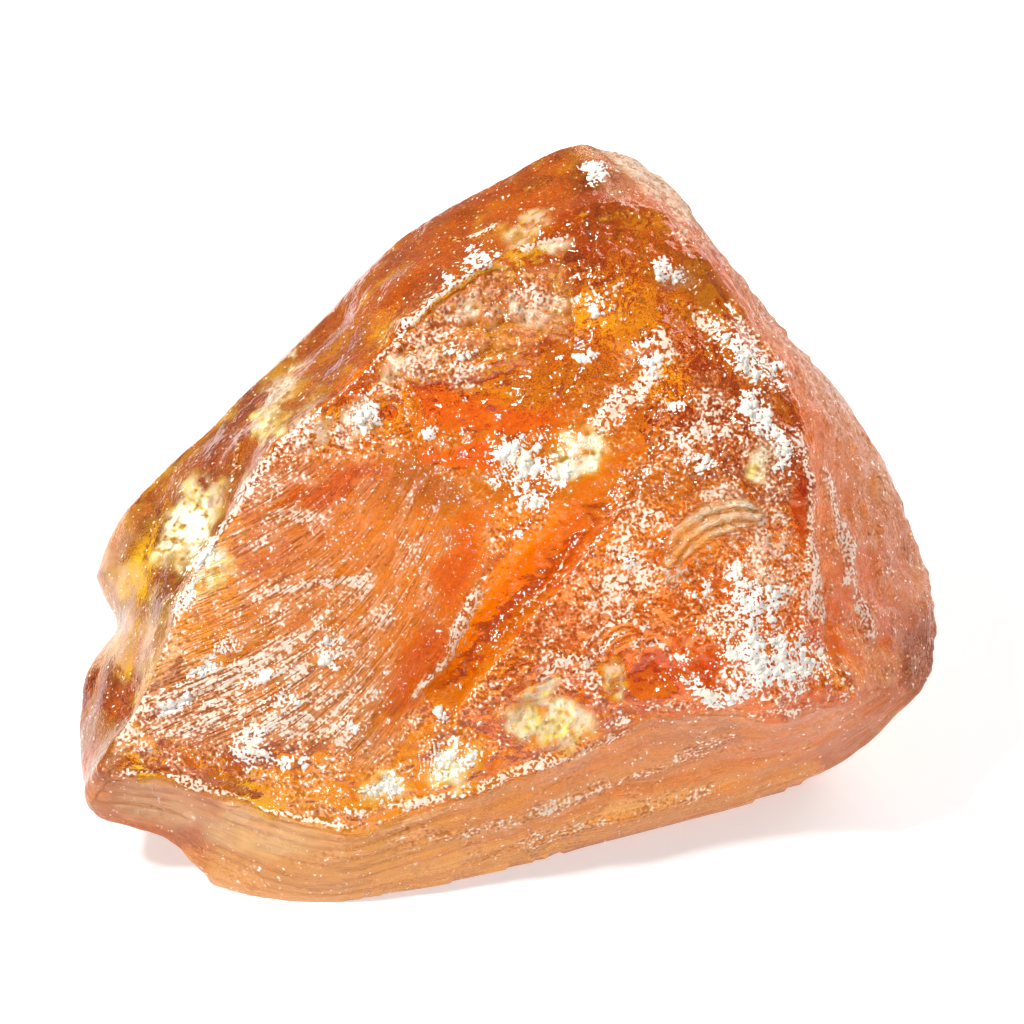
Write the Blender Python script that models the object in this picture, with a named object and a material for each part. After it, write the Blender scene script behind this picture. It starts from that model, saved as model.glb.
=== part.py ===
"""A raw lump of amber, broken on every side, resting on a flat patch of its underside.

The lump is one closed body. Its broad front face is a broken surface that leans back from
upright, so the outline is laid out in that face's own frame: how far across the face, how
far up it, and how far behind it, in millimetres. A rim goes round the front face, a shoulder
goes round the widest part of the lump, and two more rings carry the surface on to the back.
Named ledges, scoops and breaks are then worked into the surface.

World frame: +X across, +Y from front to back, +Z up, origin under the middle of the lump.
"""
import math

import bmesh
import bpy
from mathutils import Vector, noise

MM = 0.001

# Driving dimensions, in millimetres and degrees.
FACE_LEAN = math.radians(30.0)              # how far the front face leans back from upright
FRAME_ORIGIN = Vector((0.0, -6.6, 21.4))    # the front face's frame in the layout
BOX_MIDDLE = Vector((0.1, 0.89, 0.0))        # the middle of the finished lump in the layout
FRONT_CELLS = 44            # cells along each side of the front face
FLANK_ROWS = 4              # rows from the rim to mid-flank, and on to the shoulder
BACK_ROWS = 5               # rows from the shoulder to the back edge
TAIL_ROWS = 3               # rows from the back edge to the back face
BACK_BOW = 1.4              # how far the back face bows out
REST_SNAP = 0.35            # anything lower than this belongs to the flat it rests on
WEAR_PASSES = 3             # how much the outer edges are rounded by wear
RIM_WEAR_PASSES = 1         # the rim of the front face is fresher, so it stays crisp

# One row for each station round the lump: the rim of the front face, the shoulder behind it,
# where the middle of the flank lies between them, and how far it bulges outwards.
# Each point is (across, up, behind) in the front face's frame.
WEDGE_TIP = ((-23.8, -15.0, 0.3), (-24.3, -17.7, 4.2), 0.45, 0.7)
UPPER_LOBE = ((-16.5, -0.5, 0.6), (-23.3, -1.0, 11.7), 0.5, -0.8)
APEX = ((7.5, 18.0, 3.0), (4.3, 21.9, 7.5), 0.5, 0.3)
RIGHT_BLOCK = ((20.0, -10.8, 3.0), (25.2, -9.7, 11.5), 0.5, 0.0)
LEFT_STATIONS = [
    WEDGE_TIP,
    ((-22.9, -13.0, 0.2), (-25.3, -14.2, 7.0), 0.5, -0.3),
    ((-21.6, -10.9, 0.2), (-25.9, -10.8, 9.0), 0.5, -0.6),     # lower lobe
    ((-20.6, -8.9, 0.2), (-25.0, -8.6, 9.5), 0.5, -0.7),
    ((-19.8, -6.8, 0.3), (-23.2, -6.5, 10.0), 0.5, -0.2),      # notch between the lobes
    ((-19.2, -4.9, 0.4), (-24.3, -5.1, 11.0), 0.5, -0.6),
    ((-18.1, -2.8, 0.5), (-24.9, -3.7, 11.5), 0.5, -0.8),
    UPPER_LOBE,
]
TOP_STATIONS = [
    UPPER_LOBE,
    ((-14.6, 2.4, 0.6), (-20.5, 2.3, 11.7), 0.5, -0.6),
    ((-12.4, 5.1, 0.6), (-17.9, 4.7, 11.5), 0.5, -0.4),
    ((-9.6, 7.3, 0.7), (-14.7, 8.2, 11.2), 0.5, 0.0),
    ((-6.5, 10.3, 0.8), (-11.5, 11.7, 11.0), 0.5, 0.2),
    ((-3.9, 13.1, 1.0), (-7.9, 14.9, 10.5), 0.5, 0.2),
    ((-0.7, 15.0, 1.4), (-4.8, 17.2, 9.8), 0.5, 0.3),
    ((2.3, 17.0, 2.0), (-0.9, 19.1, 9.0), 0.5, 0.3),
    ((5.2, 17.9, 2.5), (2.0, 21.1, 8.0), 0.5, 0.3),
    APEX,
]
RIGHT_STATIONS = [
    APEX,
    ((8.8, 17.6, 3.2), (7.2, 21.4, 9.0), 0.5, 0.6),            # cap beside the apex
    ((9.7, 16.3, 2.9), (10.2, 18.9, 9.5), 0.5, 0.2),
    ((10.7, 15.2, 2.4), (11.2, 17.0, 9.5), 0.5, 0.0),
    ((13.1, 11.5, 2.0), (14.8, 13.1, 10.5), 0.5, 0.1),
    ((15.3, 8.3, 1.6), (18.1, 9.2, 11.5), 0.5, 0.3),
    ((16.7, 5.1, 1.2), (21.2, 5.3, 13.0), 0.5, 0.4),
    ((17.4, 0.7, 1.0), (23.8, 0.2, 14.0), 0.5, 0.5),
    ((17.5, -3.4, 1.0), (25.3, -3.8, 14.0), 0.5, 0.5),
    ((17.7, -7.2, 1.6), (25.9, -7.5, 12.8), 0.5, 0.2),
    RIGHT_BLOCK,
]
BOTTOM_STATIONS = [
    RIGHT_BLOCK,
    ((17.9, -11.3, 1.7), (22.6, -11.6, 10.5), 0.55, 0.2),
    ((15.9, -11.8, 1.0), (21.6, -13.5, 12.4), 0.5, 0.2),
    ((13.6, -11.7, 0.6), (18.3, -15.9, 14.8), 0.45, 0.3),
    ((10.9, -11.2, 0.3), (13.1, -17.7, 12.6), 0.45, 0.4),
    ((7.7, -11.5, 0.0), (7.7, -19.1, 10.2), 0.45, 0.4),
    ((3.4, -13.5, -0.1), (2.0, -20.4, 7.6), 0.45, 0.4),
    ((-0.4, -15.1, -0.1), (-3.4, -21.7, 5.6), 0.45, 0.4),
    ((-4.2, -16.6, 0.0), (-7.5, -22.3, 4.3), 0.45, 0.4),
    ((-8.3, -18.3, 0.0), (-11.4, -22.5, 3.9), 0.45, 0.3),
    ((-12.3, -17.7, 0.1), (-14.8, -21.8, 4.6), 0.42, 0.3),     # foot of the wedge
    ((-15.8, -16.5, 0.4), (-17.6, -20.3, 4.7), 0.42, 0.4),
    ((-19.3, -15.4, 0.4), (-19.0, -18.4, 5.0), 0.45, 0.6),
    WEDGE_TIP,
]
# Each side's stations, and how much further out its shoulder starts, which wear takes off.
SIDES = [
    (LEFT_STATIONS, 0.8),
    (TOP_STATIONS, 0.5),
    (RIGHT_STATIONS, 0.1),
    (BOTTOM_STATIONS, 0.95),
]

# The back edge and the edge of the back face, side by side as (x, y, z) in the layout.
BACK_EDGE = [
    [(-18.5, -6.0, 3.2), (-21.5, 1.0, 4.6), (-21.3, 5.6, 8.0), (-20.5, 8.4, 13.5)],
    [(-20.5, 8.4, 13.5), (-17.0, 10.9, 18.0), (-11.0, 12.9, 24.0), (-4.0, 14.2, 29.5),
     (4.5, 14.0, 34.0)],
    [(4.5, 14.0, 34.0), (9.5, 14.1, 30.5), (15.5, 14.1, 24.5), (20.5, 13.4, 18.0),
     (23.0, 12.4, 12.0), (21.5, 9.9, 6.5)],
    [(21.5, 9.9, 6.5), (18.5, 9.0, 0.0), (12.0, 12.0, 0.0), (4.0, 13.4, 0.0), (-5.0, 12.0, 0.0),
     (-12.5, 7.0, 0.0), (-16.0, 0.0, 0.0), (-18.5, -6.0, 3.2)],
]
BACK_FACE_EDGE = [
    [(-16.0, 3.5, 5.0), (-16.2, 8.0, 9.0), (-13.5, 12.0, 16.5)],
    [(-13.5, 12.0, 16.5), (-7.5, 14.2, 22.5), (3.0, 15.4, 28.0)],
    [(3.0, 15.4, 28.0), (10.0, 15.6, 22.5), (15.5, 15.2, 16.0), (16.5, 13.2, 8.0)],
    [(16.5, 13.2, 8.0), (8.5, 14.2, 4.5), (0.0, 14.8, 4.0), (-8.5, 12.0, 4.0), (-16.0, 3.5, 5.0)],
]

# A ledge is a line across the front face with the ground raised on its left-hand side.
# The ends say over what share of the line it fades in and out.
SCARP = {
    "line": [(10.9, 6.8), (7.5, 2.4), (6.6, 0.5), (4.8, -1.3), (3.0, -3.5), (1.5, -5.2),
             (0.1, -6.9), (-1.6, -9.1), (-3.6, -12.0)],
    "height": 0.8, "fall": 7.0, "fade_in": 0.25, "fade_out": 0.07,
}
LEDGE = {
    "line": [(-7.6, 8.6), (-5.2, 7.3), (-2.2, 7.6), (0.6, 8.6), (3.7, 10.6), (7.0, 12.2)],
    "height": 0.6, "fall": 4.0, "fade_in": 0.15, "fade_out": 0.15,
}
STEP_FOOT = -0.45           # a ledge's step starts this far before its line
STEP_HEAD = 0.9             # and reaches its height this far after it

# A groove runs along the foot of the scarp, with a low lip on its far side.
GROOVE_DEPTH = 1.0
GROOVE_PLACE = -1.1
GROOVE_HALF_WIDTH = 1.7
GROOVE_UPPER_SHARE = 0.35   # how deep it is at its shallow upper end
GROOVE_LOWER_HALF = (0.2, 0.6)
LIP_HEIGHT = 0.35
LIP_PLACE = -3.5
LIP_HALF_WIDTH = 0.7
RIM_MARGIN = 2.0            # ledges fade out within this distance of the rim

# Scoops struck out of the front face: (across, up), radius of the hollow's sphere, depth.
FACE_SCOOPS = {
    "thumbnail_chip": ((-7.4, 5.6), 2.4, 0.45),
    "flake_scar": ((12.6, -3.4), 7.5, 0.75),
    "deep_chip": ((8.4, -9.4), 3.2, 0.6),
    "lower_hollow": ((2.8, -11.6), 5.0, 0.6),
    "lower_sliver": ((-15.4, -16.4), 4.0, 0.55),
    "tip_sliver": ((-20.4, -15.2), 3.0, 0.4),
    "rim_chip": ((11.6, 13.0), 4.5, 0.7),
    "crown_hollow": ((2.0, 14.0), 9.0, 0.6),
}
# Broader shell-shaped breaks on the other sides: direction from the middle, radius, depth.
BODY_CENTRE = Vector((0.0, 1.0, 14.0))
BODY_BREAKS = {
    "back_left": ((-0.75, 0.62, 0.22), 30.0, 1.5),
    "back_high": ((-0.15, 0.85, 0.50), 34.0, 1.6),
    "back_right": ((0.62, 0.78, 0.05), 28.0, 1.6),
    "back_low": ((-0.10, 0.96, -0.25), 22.0, 1.3),
    "right_heel": ((0.90, 0.40, -0.20), 16.0, 0.9),
    "left_heel": ((-0.93, 0.05, -0.36), 14.0, 0.6),
    "crest_bite": ((-0.62, 0.55, 0.56), 8.0, 0.6),
    "right_ridge_bite": ((0.66, 0.55, 0.50), 12.0, 0.8),
}

# Lumps and hollows all over: how many to the millimetre, how high, and where they start.
LUMPS = [
    (0.16, 0.5, Vector((0.0, 0.0, 0.0))),
    (0.45, 0.28, Vector((7.0, 3.0, 5.0))),
]

AMBER_COLOUR = (0.80, 0.20, 0.035, 1.0)
AMBER_ROUGHNESS = 0.35
AMBER_IOR = 1.54


def clear_scene():
    for item in list(bpy.data.objects):
        bpy.data.objects.remove(item, do_unlink=True)


def face_to_layout(across, up, behind):
    """A point of the leaning face's frame, in the upright layout."""
    lean_cos = math.cos(FACE_LEAN)
    lean_sin = math.sin(FACE_LEAN)
    back = up * lean_sin + behind * lean_cos
    height = up * lean_cos - behind * lean_sin
    return FRAME_ORIGIN + Vector((across, back, height))


def layout_to_face(point):
    """The same point's place across and up the face."""
    rel = point - FRAME_ORIGIN
    return Vector((rel.x, rel.y * math.sin(FACE_LEAN) + rel.z * math.cos(FACE_LEAN)))


FACE_NORMAL = face_to_layout(0, 0, -1) - FRAME_ORIGIN


def smooth_step(low, high, value):
    t = min(max((value - low) / (high - low), 0.0), 1.0)
    return t * t * (3 - 2 * t)


def station_places(paths):
    """Where each station falls along a side, 0 to 1, by the mean length of its paths."""
    columns = []
    for path in paths:
        steps = [(b - a).length for a, b in zip(path, path[1:])]
        runs = [sum(steps[:i]) for i in range(len(path))]
        columns.append([run / runs[-1] for run in runs])
    return [sum(row) / len(row) for row in zip(*columns)]


def curve_point(points, places, place):
    """A smooth curve through the points, with each slope taken from the neighbours."""
    def slope(i):
        low = max(i - 1, 0)
        high = min(i + 1, len(points) - 1)
        return (points[high] - points[low]) / (places[high] - places[low])

    index = 0
    while index < len(points) - 2 and place > places[index + 1]:
        index += 1
    width = places[index + 1] - places[index]
    t = (place - places[index]) / width
    ends = points[index] * (2 * t**3 - 3 * t**2 + 1) + points[index + 1] * (3 * t**2 - 2 * t**3)
    slopes = slope(index) * (t**3 - 2 * t**2 + t) + slope(index + 1) * (t**3 - t**2)
    return ends + slopes * width


def side_curves(stations, allowance, cells):
    """Rim, mid-flank and shoulder points along one side of the lump."""
    rim = []
    middle = []
    shoulder = []
    for rim_point, shoulder_point, share, bulge in stations:
        outward = Vector((shoulder_point[0], shoulder_point[1], 0.0)).normalized()
        low = face_to_layout(*rim_point)
        high = face_to_layout(*(Vector(shoulder_point) + outward * allowance))
        rim.append(low)
        middle.append(low.lerp(high, share) + face_to_layout(*(outward * bulge)) - FRAME_ORIGIN)
        shoulder.append(high)
    places = station_places([rim, shoulder])
    return [[curve_point(path, places, i / cells) for i in range(cells)]
            for path in (rim, middle, shoulder)]


def front_rings():
    rings = [[], [], []]
    for stations, allowance in SIDES:
        for ring, points in zip(rings, side_curves(stations, allowance, FRONT_CELLS)):
            ring += points
    return rings


def ring_from_sides(sides, cells):
    """A closed ring with the same number of cells along each of its four sides."""
    ring = []
    for side in sides:
        points = [Vector(point) for point in side]
        places = station_places([points])
        ring += [curve_point(points, places, i / cells) for i in range(cells)]
    return ring


def patch_point(ring, cells, column, row):
    """A surface stretched over a four-sided ring: both rulings, less the corners' share."""
    s = column / cells
    t = row / cells
    left = ring[row]
    top = ring[cells + column]
    right = ring[3 * cells - row]
    bottom = ring[(4 * cells - column) % (4 * cells)]
    corners = (ring[0] * (1 - s) * (1 - t) + ring[cells] * (1 - s) * t
               + ring[2 * cells] * s * t + ring[3 * cells] * s * (1 - t))
    return bottom * (1 - t) + top * t + left * (1 - s) + right * s - corners


def fill_patch(mesh, ring, ring_verts, bow):
    """Fill a ring with a grid of quads that shares the ring's vertices and bows at its middle."""
    cells = len(ring) // 4
    grid = {}
    for i in range(cells):
        grid[0, i] = ring_verts[i]
        grid[i, cells] = ring_verts[cells + i]
        grid[cells, cells - i] = ring_verts[2 * cells + i]
        grid[cells - i, 0] = ring_verts[3 * cells + i]
    for column in range(1, cells):
        for row in range(1, cells):
            s = column / cells
            t = row / cells
            lift = bow * 16 * s * (1 - s) * t * (1 - t)
            grid[column, row] = mesh.verts.new(patch_point(ring, cells, column, row) + lift)
    for column in range(cells):
        for row in range(cells):
            mesh.faces.new((grid[column, row], grid[column + 1, row],
                            grid[column + 1, row + 1], grid[column, row + 1]))


def join_rings(mesh, near, far):
    """A band of quads between two rings of the same count."""
    for i in range(len(near)):
        mesh.faces.new((near[i - 1], near[i], far[i], far[i - 1]))


def halve_ring(mesh, near, far):
    """A band of triangles from a ring to one with half its count."""
    for i in range(len(far)):
        j = (i + 1) % len(far)
        first = near[2 * i]
        middle = near[2 * i + 1]
        last = near[2 * j]
        mesh.faces.new((first, middle, far[i]))
        mesh.faces.new((middle, far[j], far[i]))
        mesh.faces.new((middle, last, far[j]))


def add_band(mesh, verts, start, end, rows):
    """Rows of quads from one ring's places to the next ring's; returns the last row."""
    for row in range(1, rows + 1):
        far = [mesh.verts.new(a.lerp(b, row / rows)) for a, b in zip(start, end)]
        join_rings(mesh, verts, far)
        verts = far
    return verts


def build_blank():
    """The closed blank, before wear and breaks, with its rim and its front face's vertices."""
    rim, middle, shoulder = front_rings()
    back_edge = ring_from_sides(BACK_EDGE, FRONT_CELLS // 2)
    back_face = ring_from_sides(BACK_FACE_EDGE, FRONT_CELLS // 2)
    mesh = bmesh.new()
    rim_verts = [mesh.verts.new(point) for point in rim]
    fill_patch(mesh, rim, rim_verts, Vector((0.0, 0.0, 0.0)))
    front = list(mesh.verts)

    verts = add_band(mesh, rim_verts, rim, middle, FLANK_ROWS)
    verts = add_band(mesh, verts, middle, shoulder, FLANK_ROWS)
    first = [a.lerp(b, 1 / BACK_ROWS) for a, b in zip(shoulder[::2], back_edge)]
    coarse = [mesh.verts.new(point) for point in first]
    halve_ring(mesh, verts, coarse)
    verts = add_band(mesh, coarse, first, back_edge, BACK_ROWS - 1)
    verts = add_band(mesh, verts, back_edge, back_face, TAIL_ROWS)
    fill_patch(mesh, back_face, verts, Vector((0.0, BACK_BOW, 0.0)))
    bmesh.ops.recalc_face_normals(mesh, faces=mesh.faces[:])
    return mesh, rim_verts, front


def wear_edges(mesh, rim_verts):
    rim = set(rim_verts)
    others = [vert for vert in mesh.verts if vert not in rim]
    for verts, passes in ((others, WEAR_PASSES), (rim_verts, RIM_WEAR_PASSES)):
        for _ in range(passes):
            bmesh.ops.smooth_vert(mesh, verts=verts, factor=0.5,
                                  use_axis_x=True, use_axis_y=True, use_axis_z=True)


def strike_scoop(mesh, surface_point, outward, radius, depth):
    """Push everything inside a sphere that dips into the surface out on to the sphere."""
    centre = surface_point + outward * (radius - depth)
    for vert in mesh.verts:
        away = vert.co - centre
        if away.length < radius:
            vert.co = centre + away.normalized() * radius


def strike_body_breaks(mesh):
    for heading, radius, depth in BODY_BREAKS.values():
        outward = Vector(heading).normalized()
        target = max(mesh.verts, key=lambda v: (v.co - BODY_CENTRE).normalized().dot(outward))
        strike_scoop(mesh, target.co.copy(), outward, radius, depth)


def strike_face_scoops(mesh, front):
    for place, radius, depth in FACE_SCOOPS.values():
        target = min(front, key=lambda v: (layout_to_face(v.co) - Vector(place)).length)
        strike_scoop(mesh, target.co.copy(), FACE_NORMAL, radius, depth)


def offset_from_line(line, point):
    """Distance from a line across the face, positive on its left, and the share along it."""
    best_offset = math.inf
    best_share = 0.0
    spans = len(line) - 1
    for i in range(spans):
        start = Vector(line[i])
        run = Vector(line[i + 1]) - start
        t = min(max((point - start).dot(run) / run.length_squared, 0.0), 1.0)
        away = point - (start + run * t)
        if away.length < abs(best_offset):
            best_offset = math.copysign(away.length, run.x * away.y - run.y * away.x)
            best_share = (i + t) / spans
    return best_offset, best_share


def ledge_height(ledge, point):
    """A step up across the ledge's line, sinking back to the plain face beyond it."""
    offset, share = offset_from_line(ledge["line"], point)
    ends = smooth_step(0, ledge["fade_in"], share) * smooth_step(1, 1 - ledge["fade_out"], share)
    rise = smooth_step(STEP_FOOT, STEP_HEAD, offset)
    sink = math.exp(-max(offset, 0.0) / ledge["fall"])
    return ledge["height"] * rise * sink * ends, offset, share, ends


def face_relief(point):
    """Height of the ledges, the groove and its lip over the plain front face."""
    scarp, offset, share, ends = ledge_height(SCARP, point)
    lower_half = smooth_step(*GROOVE_LOWER_HALF, share)
    across = min(abs(offset - GROOVE_PLACE) / GROOVE_HALF_WIDTH, 1.0)
    depth = GROOVE_DEPTH * (GROOVE_UPPER_SHARE + (1 - GROOVE_UPPER_SHARE) * lower_half)
    groove = depth * (1 - across**2) ** 2 * ends
    lip = LIP_HEIGHT * math.exp(-((offset - LIP_PLACE) / LIP_HALF_WIDTH) ** 2) * ends * lower_half
    return scarp - groove + lip + ledge_height(LEDGE, point)[0]


def work_front_face(front, rim_verts):
    rim = [layout_to_face(vert.co) for vert in rim_verts]
    for vert in front:
        place = layout_to_face(vert.co)
        near_rim = min((place - edge).length for edge in rim)
        vert.co += FACE_NORMAL * (face_relief(place) * smooth_step(0, RIM_MARGIN, near_rim))


def roughen(mesh):
    mesh.normal_update()
    for vert in mesh.verts:
        lump = sum(noise.noise(vert.co * rate + start) * height for rate, height, start in LUMPS)
        vert.co += vert.normal * lump


def rest_flat(mesh):
    """The patch it rests on is flat, at the floor, and the lump's middle is over the origin."""
    for vert in mesh.verts:
        if vert.co.z < REST_SNAP:
            vert.co.z = 0.0
        vert.co -= BOX_MIDDLE


def amber_material():
    material = bpy.data.materials.new("amber")
    material.use_nodes = True
    shader = material.node_tree.nodes["Principled BSDF"]
    shader.inputs["Base Color"].default_value = AMBER_COLOUR
    shader.inputs["Roughness"].default_value = AMBER_ROUGHNESS
    shader.inputs["Metallic"].default_value = 0.0
    shader.inputs["IOR"].default_value = AMBER_IOR
    return material


def build_raw_amber():
    mesh, rim_verts, front = build_blank()
    wear_edges(mesh, rim_verts)
    strike_body_breaks(mesh)
    strike_face_scoops(mesh, front)
    work_front_face(front, rim_verts)
    roughen(mesh)
    rest_flat(mesh)
    bmesh.ops.triangulate(mesh, faces=mesh.faces[:])
    bmesh.ops.scale(mesh, vec=(MM, MM, MM), verts=mesh.verts[:])

    data = bpy.data.meshes.new("raw_amber")
    mesh.to_mesh(data)
    mesh.free()
    data.materials.append(amber_material())
    piece = bpy.data.objects.new("raw_amber", data)
    bpy.context.scene.collection.objects.link(piece)


clear_scene()
build_raw_amber()
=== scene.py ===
import math

import bpy
import numpy as np
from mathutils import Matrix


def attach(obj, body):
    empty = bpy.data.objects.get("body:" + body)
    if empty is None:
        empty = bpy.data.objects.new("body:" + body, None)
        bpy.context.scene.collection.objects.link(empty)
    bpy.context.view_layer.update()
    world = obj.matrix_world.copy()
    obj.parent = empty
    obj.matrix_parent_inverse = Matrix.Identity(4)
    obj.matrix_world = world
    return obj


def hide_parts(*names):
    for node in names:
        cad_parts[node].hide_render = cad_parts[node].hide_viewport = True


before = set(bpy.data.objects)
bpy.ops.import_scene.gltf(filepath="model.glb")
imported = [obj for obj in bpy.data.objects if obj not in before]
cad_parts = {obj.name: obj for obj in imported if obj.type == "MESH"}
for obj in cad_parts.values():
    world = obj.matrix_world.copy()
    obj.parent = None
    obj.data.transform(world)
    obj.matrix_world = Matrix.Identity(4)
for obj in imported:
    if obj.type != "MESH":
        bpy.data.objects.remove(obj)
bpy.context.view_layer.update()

mm = 0.001


def softStep(low, high, value):
    # 0 below low, 1 above high, a smooth S between
    t = np.clip((value - low) / (high - low), 0.0, 1.0)
    return t * t * (3 - 2 * t)


def unit(vectors):
    # each vector over its own length
    return vectors / np.maximum(np.linalg.norm(vectors, axis=-1, keepdims=True), 1e-12)


def hashed(ix, iy, iz, seed):
    # a repeatable 0 to 1 number for each whole-number cell
    h = (ix.astype(np.int64) * 374761393 + iy.astype(np.int64) * 668265263
         + iz.astype(np.int64) * 2147483647 + seed * 974634777) & 0xFFFFFFFF
    h = ((h ^ (h >> 13)) * 1274126177) & 0xFFFFFFFF
    h = ((h ^ (h >> 16)) * 2246822519) & 0xFFFFFFFF
    return ((h ^ (h >> 15)) & 0xFFFFFF) / float(0xFFFFFF)


def softNoise(points, seed=0):
    # a number at each cell corner, blended by S curves between them, from -1 to 1
    cell = np.floor(points).astype(np.int64)
    f = points - cell
    w = f * f * f * (f * (f * 6 - 15) + 10)
    total = np.zeros(len(points))
    for dx in (0, 1):
        for dy in (0, 1):
            for dz in (0, 1):
                weight = (np.where(dx, w[:, 0], 1 - w[:, 0]) * np.where(dy, w[:, 1], 1 - w[:, 1])
                          * np.where(dz, w[:, 2], 1 - w[:, 2]))
                total += weight * hashed(cell[:, 0] + dx, cell[:, 1] + dy, cell[:, 2] + dz, seed)
    return total * 2 - 1


def layeredNoise(points, octaves=3, seed=0, gain=0.5):
    # soft noise at doubling rates and falling strength
    total = np.zeros(len(points))
    strength = 1.0
    for octave in range(octaves):
        total += strength * softNoise(points * 2.0**octave + 17.3 * octave, seed + octave)
        strength *= gain
    return total


def pebbles(points, seed=0):
    # distance to the nearest and second nearest of one random point per cell
    cell = np.floor(points).astype(np.int64)
    nearest = np.full(len(points), 9.0)
    second = np.full(len(points), 9.0)
    for dx in (-1, 0, 1):
        for dy in (-1, 0, 1):
            for dz in (-1, 0, 1):
                c = cell + np.array([dx, dy, dz])
                spot = c + np.stack([hashed(c[:, 0], c[:, 1], c[:, 2], seed + k)
                                     for k in range(3)], axis=1)
                away = np.linalg.norm(points - spot, axis=1)
                second = np.minimum(second, np.maximum(away, nearest))
                nearest = np.minimum(nearest, away)
    return nearest, second


def lineOffset(line, places):
    # signed distance from a broken line, positive on its left, and the share along it
    best = np.full(len(places), np.inf)
    offset = np.zeros(len(places))
    share = np.zeros(len(places))
    spans = len(line) - 1
    for i in range(spans):
        start = np.array(line[i])
        run = np.array(line[i + 1]) - start
        t = np.clip((places - start) @ run / (run @ run), 0, 1)
        away = places - (start + t[:, None] * run)
        gap = np.linalg.norm(away, axis=1)
        closer = gap < best
        best = np.where(closer, gap, best)
        turn = run[0] * away[:, 1] - run[1] * away[:, 0]
        offset = np.where(closer, np.copysign(gap, turn), offset)
        share = np.where(closer, (i + t) / spans, share)
    return offset, share


def insideRegion(outline, places, soft):
    # 1 inside a closed outline, 0 outside, with a soft edge of that width
    corners = np.array(outline)
    nearest = np.full(len(places), np.inf)
    crossings = np.zeros(len(places), int)
    for a, b in zip(corners, np.roll(corners, -1, axis=0)):
        run = b - a
        t = np.clip((places - a) @ run / (run @ run), 0, 1)
        nearest = np.minimum(nearest, np.linalg.norm(places - a - t[:, None] * run, axis=1))
        spans = (a[1] > places[:, 1]) != (b[1] > places[:, 1])
        height = np.where(spans, places[:, 1] - a[1], 0.0)
        meet = a[0] + height * run[0] / (run[1] if abs(run[1]) > 1e-9 else 1e-9)
        crossings += spans & (places[:, 0] < meet)
    signed = np.where(crossings % 2 == 1, nearest, -nearest)
    return softStep(-soft / 2, soft / 2, signed)


print("tools ready")

# Lengths are in millimetres and angles in degrees.
# The front face leans back, and its own frame is (across, up, behind).
lump = {
    "lean": 30.0,
    "frameOrigin": (0.0, -6.6, 21.4),   # that frame in the upright layout
    "middle": (0.1, 0.89, 0.0),         # the layout's point that goes to the origin
    "frontCells": 200,                  # cells along each side of the front face
    "flankRows": 20,                    # rows from rim to mid-flank, and on to the shoulder
    "backRows": 22,                     # rows from shoulder to back edge
    "tailRows": 13,                     # rows from back edge to back face
    "backBow": 1.4,
    "restSnap": 0.35,                   # lower than this is part of the flat it rests on
    "wearPasses": 70,
    "rimWearPasses": 6,
}

leanCos = math.cos(math.radians(lump["lean"]))
leanSin = math.sin(math.radians(lump["lean"]))
frameOrigin = np.array(lump["frameOrigin"])
faceNormal = np.array([0.0, -leanCos, leanSin])


def faceToLayout(points):
    # back = up sin + behind cos, height = up cos - behind sin
    across, up, behind = np.moveaxis(np.asarray(points, float), -1, 0)
    return frameOrigin + np.stack([across, up * leanSin + behind * leanCos,
                                   up * leanCos - behind * leanSin], axis=-1)


def layoutToFace(points):
    # the same turn the other way: up = back sin + height cos
    rel = points - frameOrigin
    return np.stack([rel[..., 0], rel[..., 1] * leanSin + rel[..., 2] * leanCos,
                     rel[..., 1] * leanCos - rel[..., 2] * leanSin], axis=-1)


# Each station: rim point, shoulder point, share of the way to mid-flank, bulge there.
wedgeTip = ((-23.8, -15.0, 0.3), (-24.3, -17.7, 4.2), 0.45, 0.7)
upperLobe = ((-16.5, -0.5, 0.6), (-23.9, -0.5, 11.7), 0.5, -0.8)
apex = ((7.5, 18.0, 3.0), (4.3, 21.9, 7.5), 0.5, 0.3)
rightBlock = ((20.0, -10.8, 3.0), (25.8, -9.9, 11.5), 0.5, 0.0)
leftStations = [
    wedgeTip,
    ((-22.9, -13.0, 0.2), (-25.3, -14.2, 7.0), 0.5, -0.3),
    ((-21.6, -10.9, 0.2), (-25.9, -10.8, 9.0), 0.5, -0.6),
    ((-20.6, -8.9, 0.2), (-25.0, -8.6, 9.5), 0.5, -0.7),
    ((-19.8, -6.8, 0.3), (-23.2, -6.5, 10.0), 0.5, -0.2),
    ((-19.2, -4.9, 0.4), (-24.3, -5.1, 11.0), 0.5, -0.6),
    ((-18.1, -2.8, 0.5), (-24.9, -3.7, 11.5), 0.5, -0.8),
    upperLobe,
]
topStations = [
    upperLobe,
    ((-14.6, 2.4, 0.6), (-21.2, 2.9, 11.7), 0.5, -0.6),
    ((-12.4, 5.1, 0.6), (-18.3, 5.1, 11.5), 0.5, -0.4),
    ((-9.6, 7.3, 0.7), (-14.7, 8.1, 11.2), 0.5, 0.0),
    ((-6.5, 10.3, 0.8), (-11.2, 11.4, 11.0), 0.5, 0.2),
    ((-3.9, 13.1, 1.0), (-7.9, 15.0, 10.5), 0.5, 0.2),
    ((-0.7, 15.0, 1.4), (-4.9, 17.5, 9.8), 0.5, 0.3),
    ((2.3, 17.0, 2.0), (-1.2, 19.6, 9.0), 0.5, 0.3),
    ((5.2, 17.9, 2.5), (2.0, 21.1, 8.0), 0.5, 0.3),
    apex,
]
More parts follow.
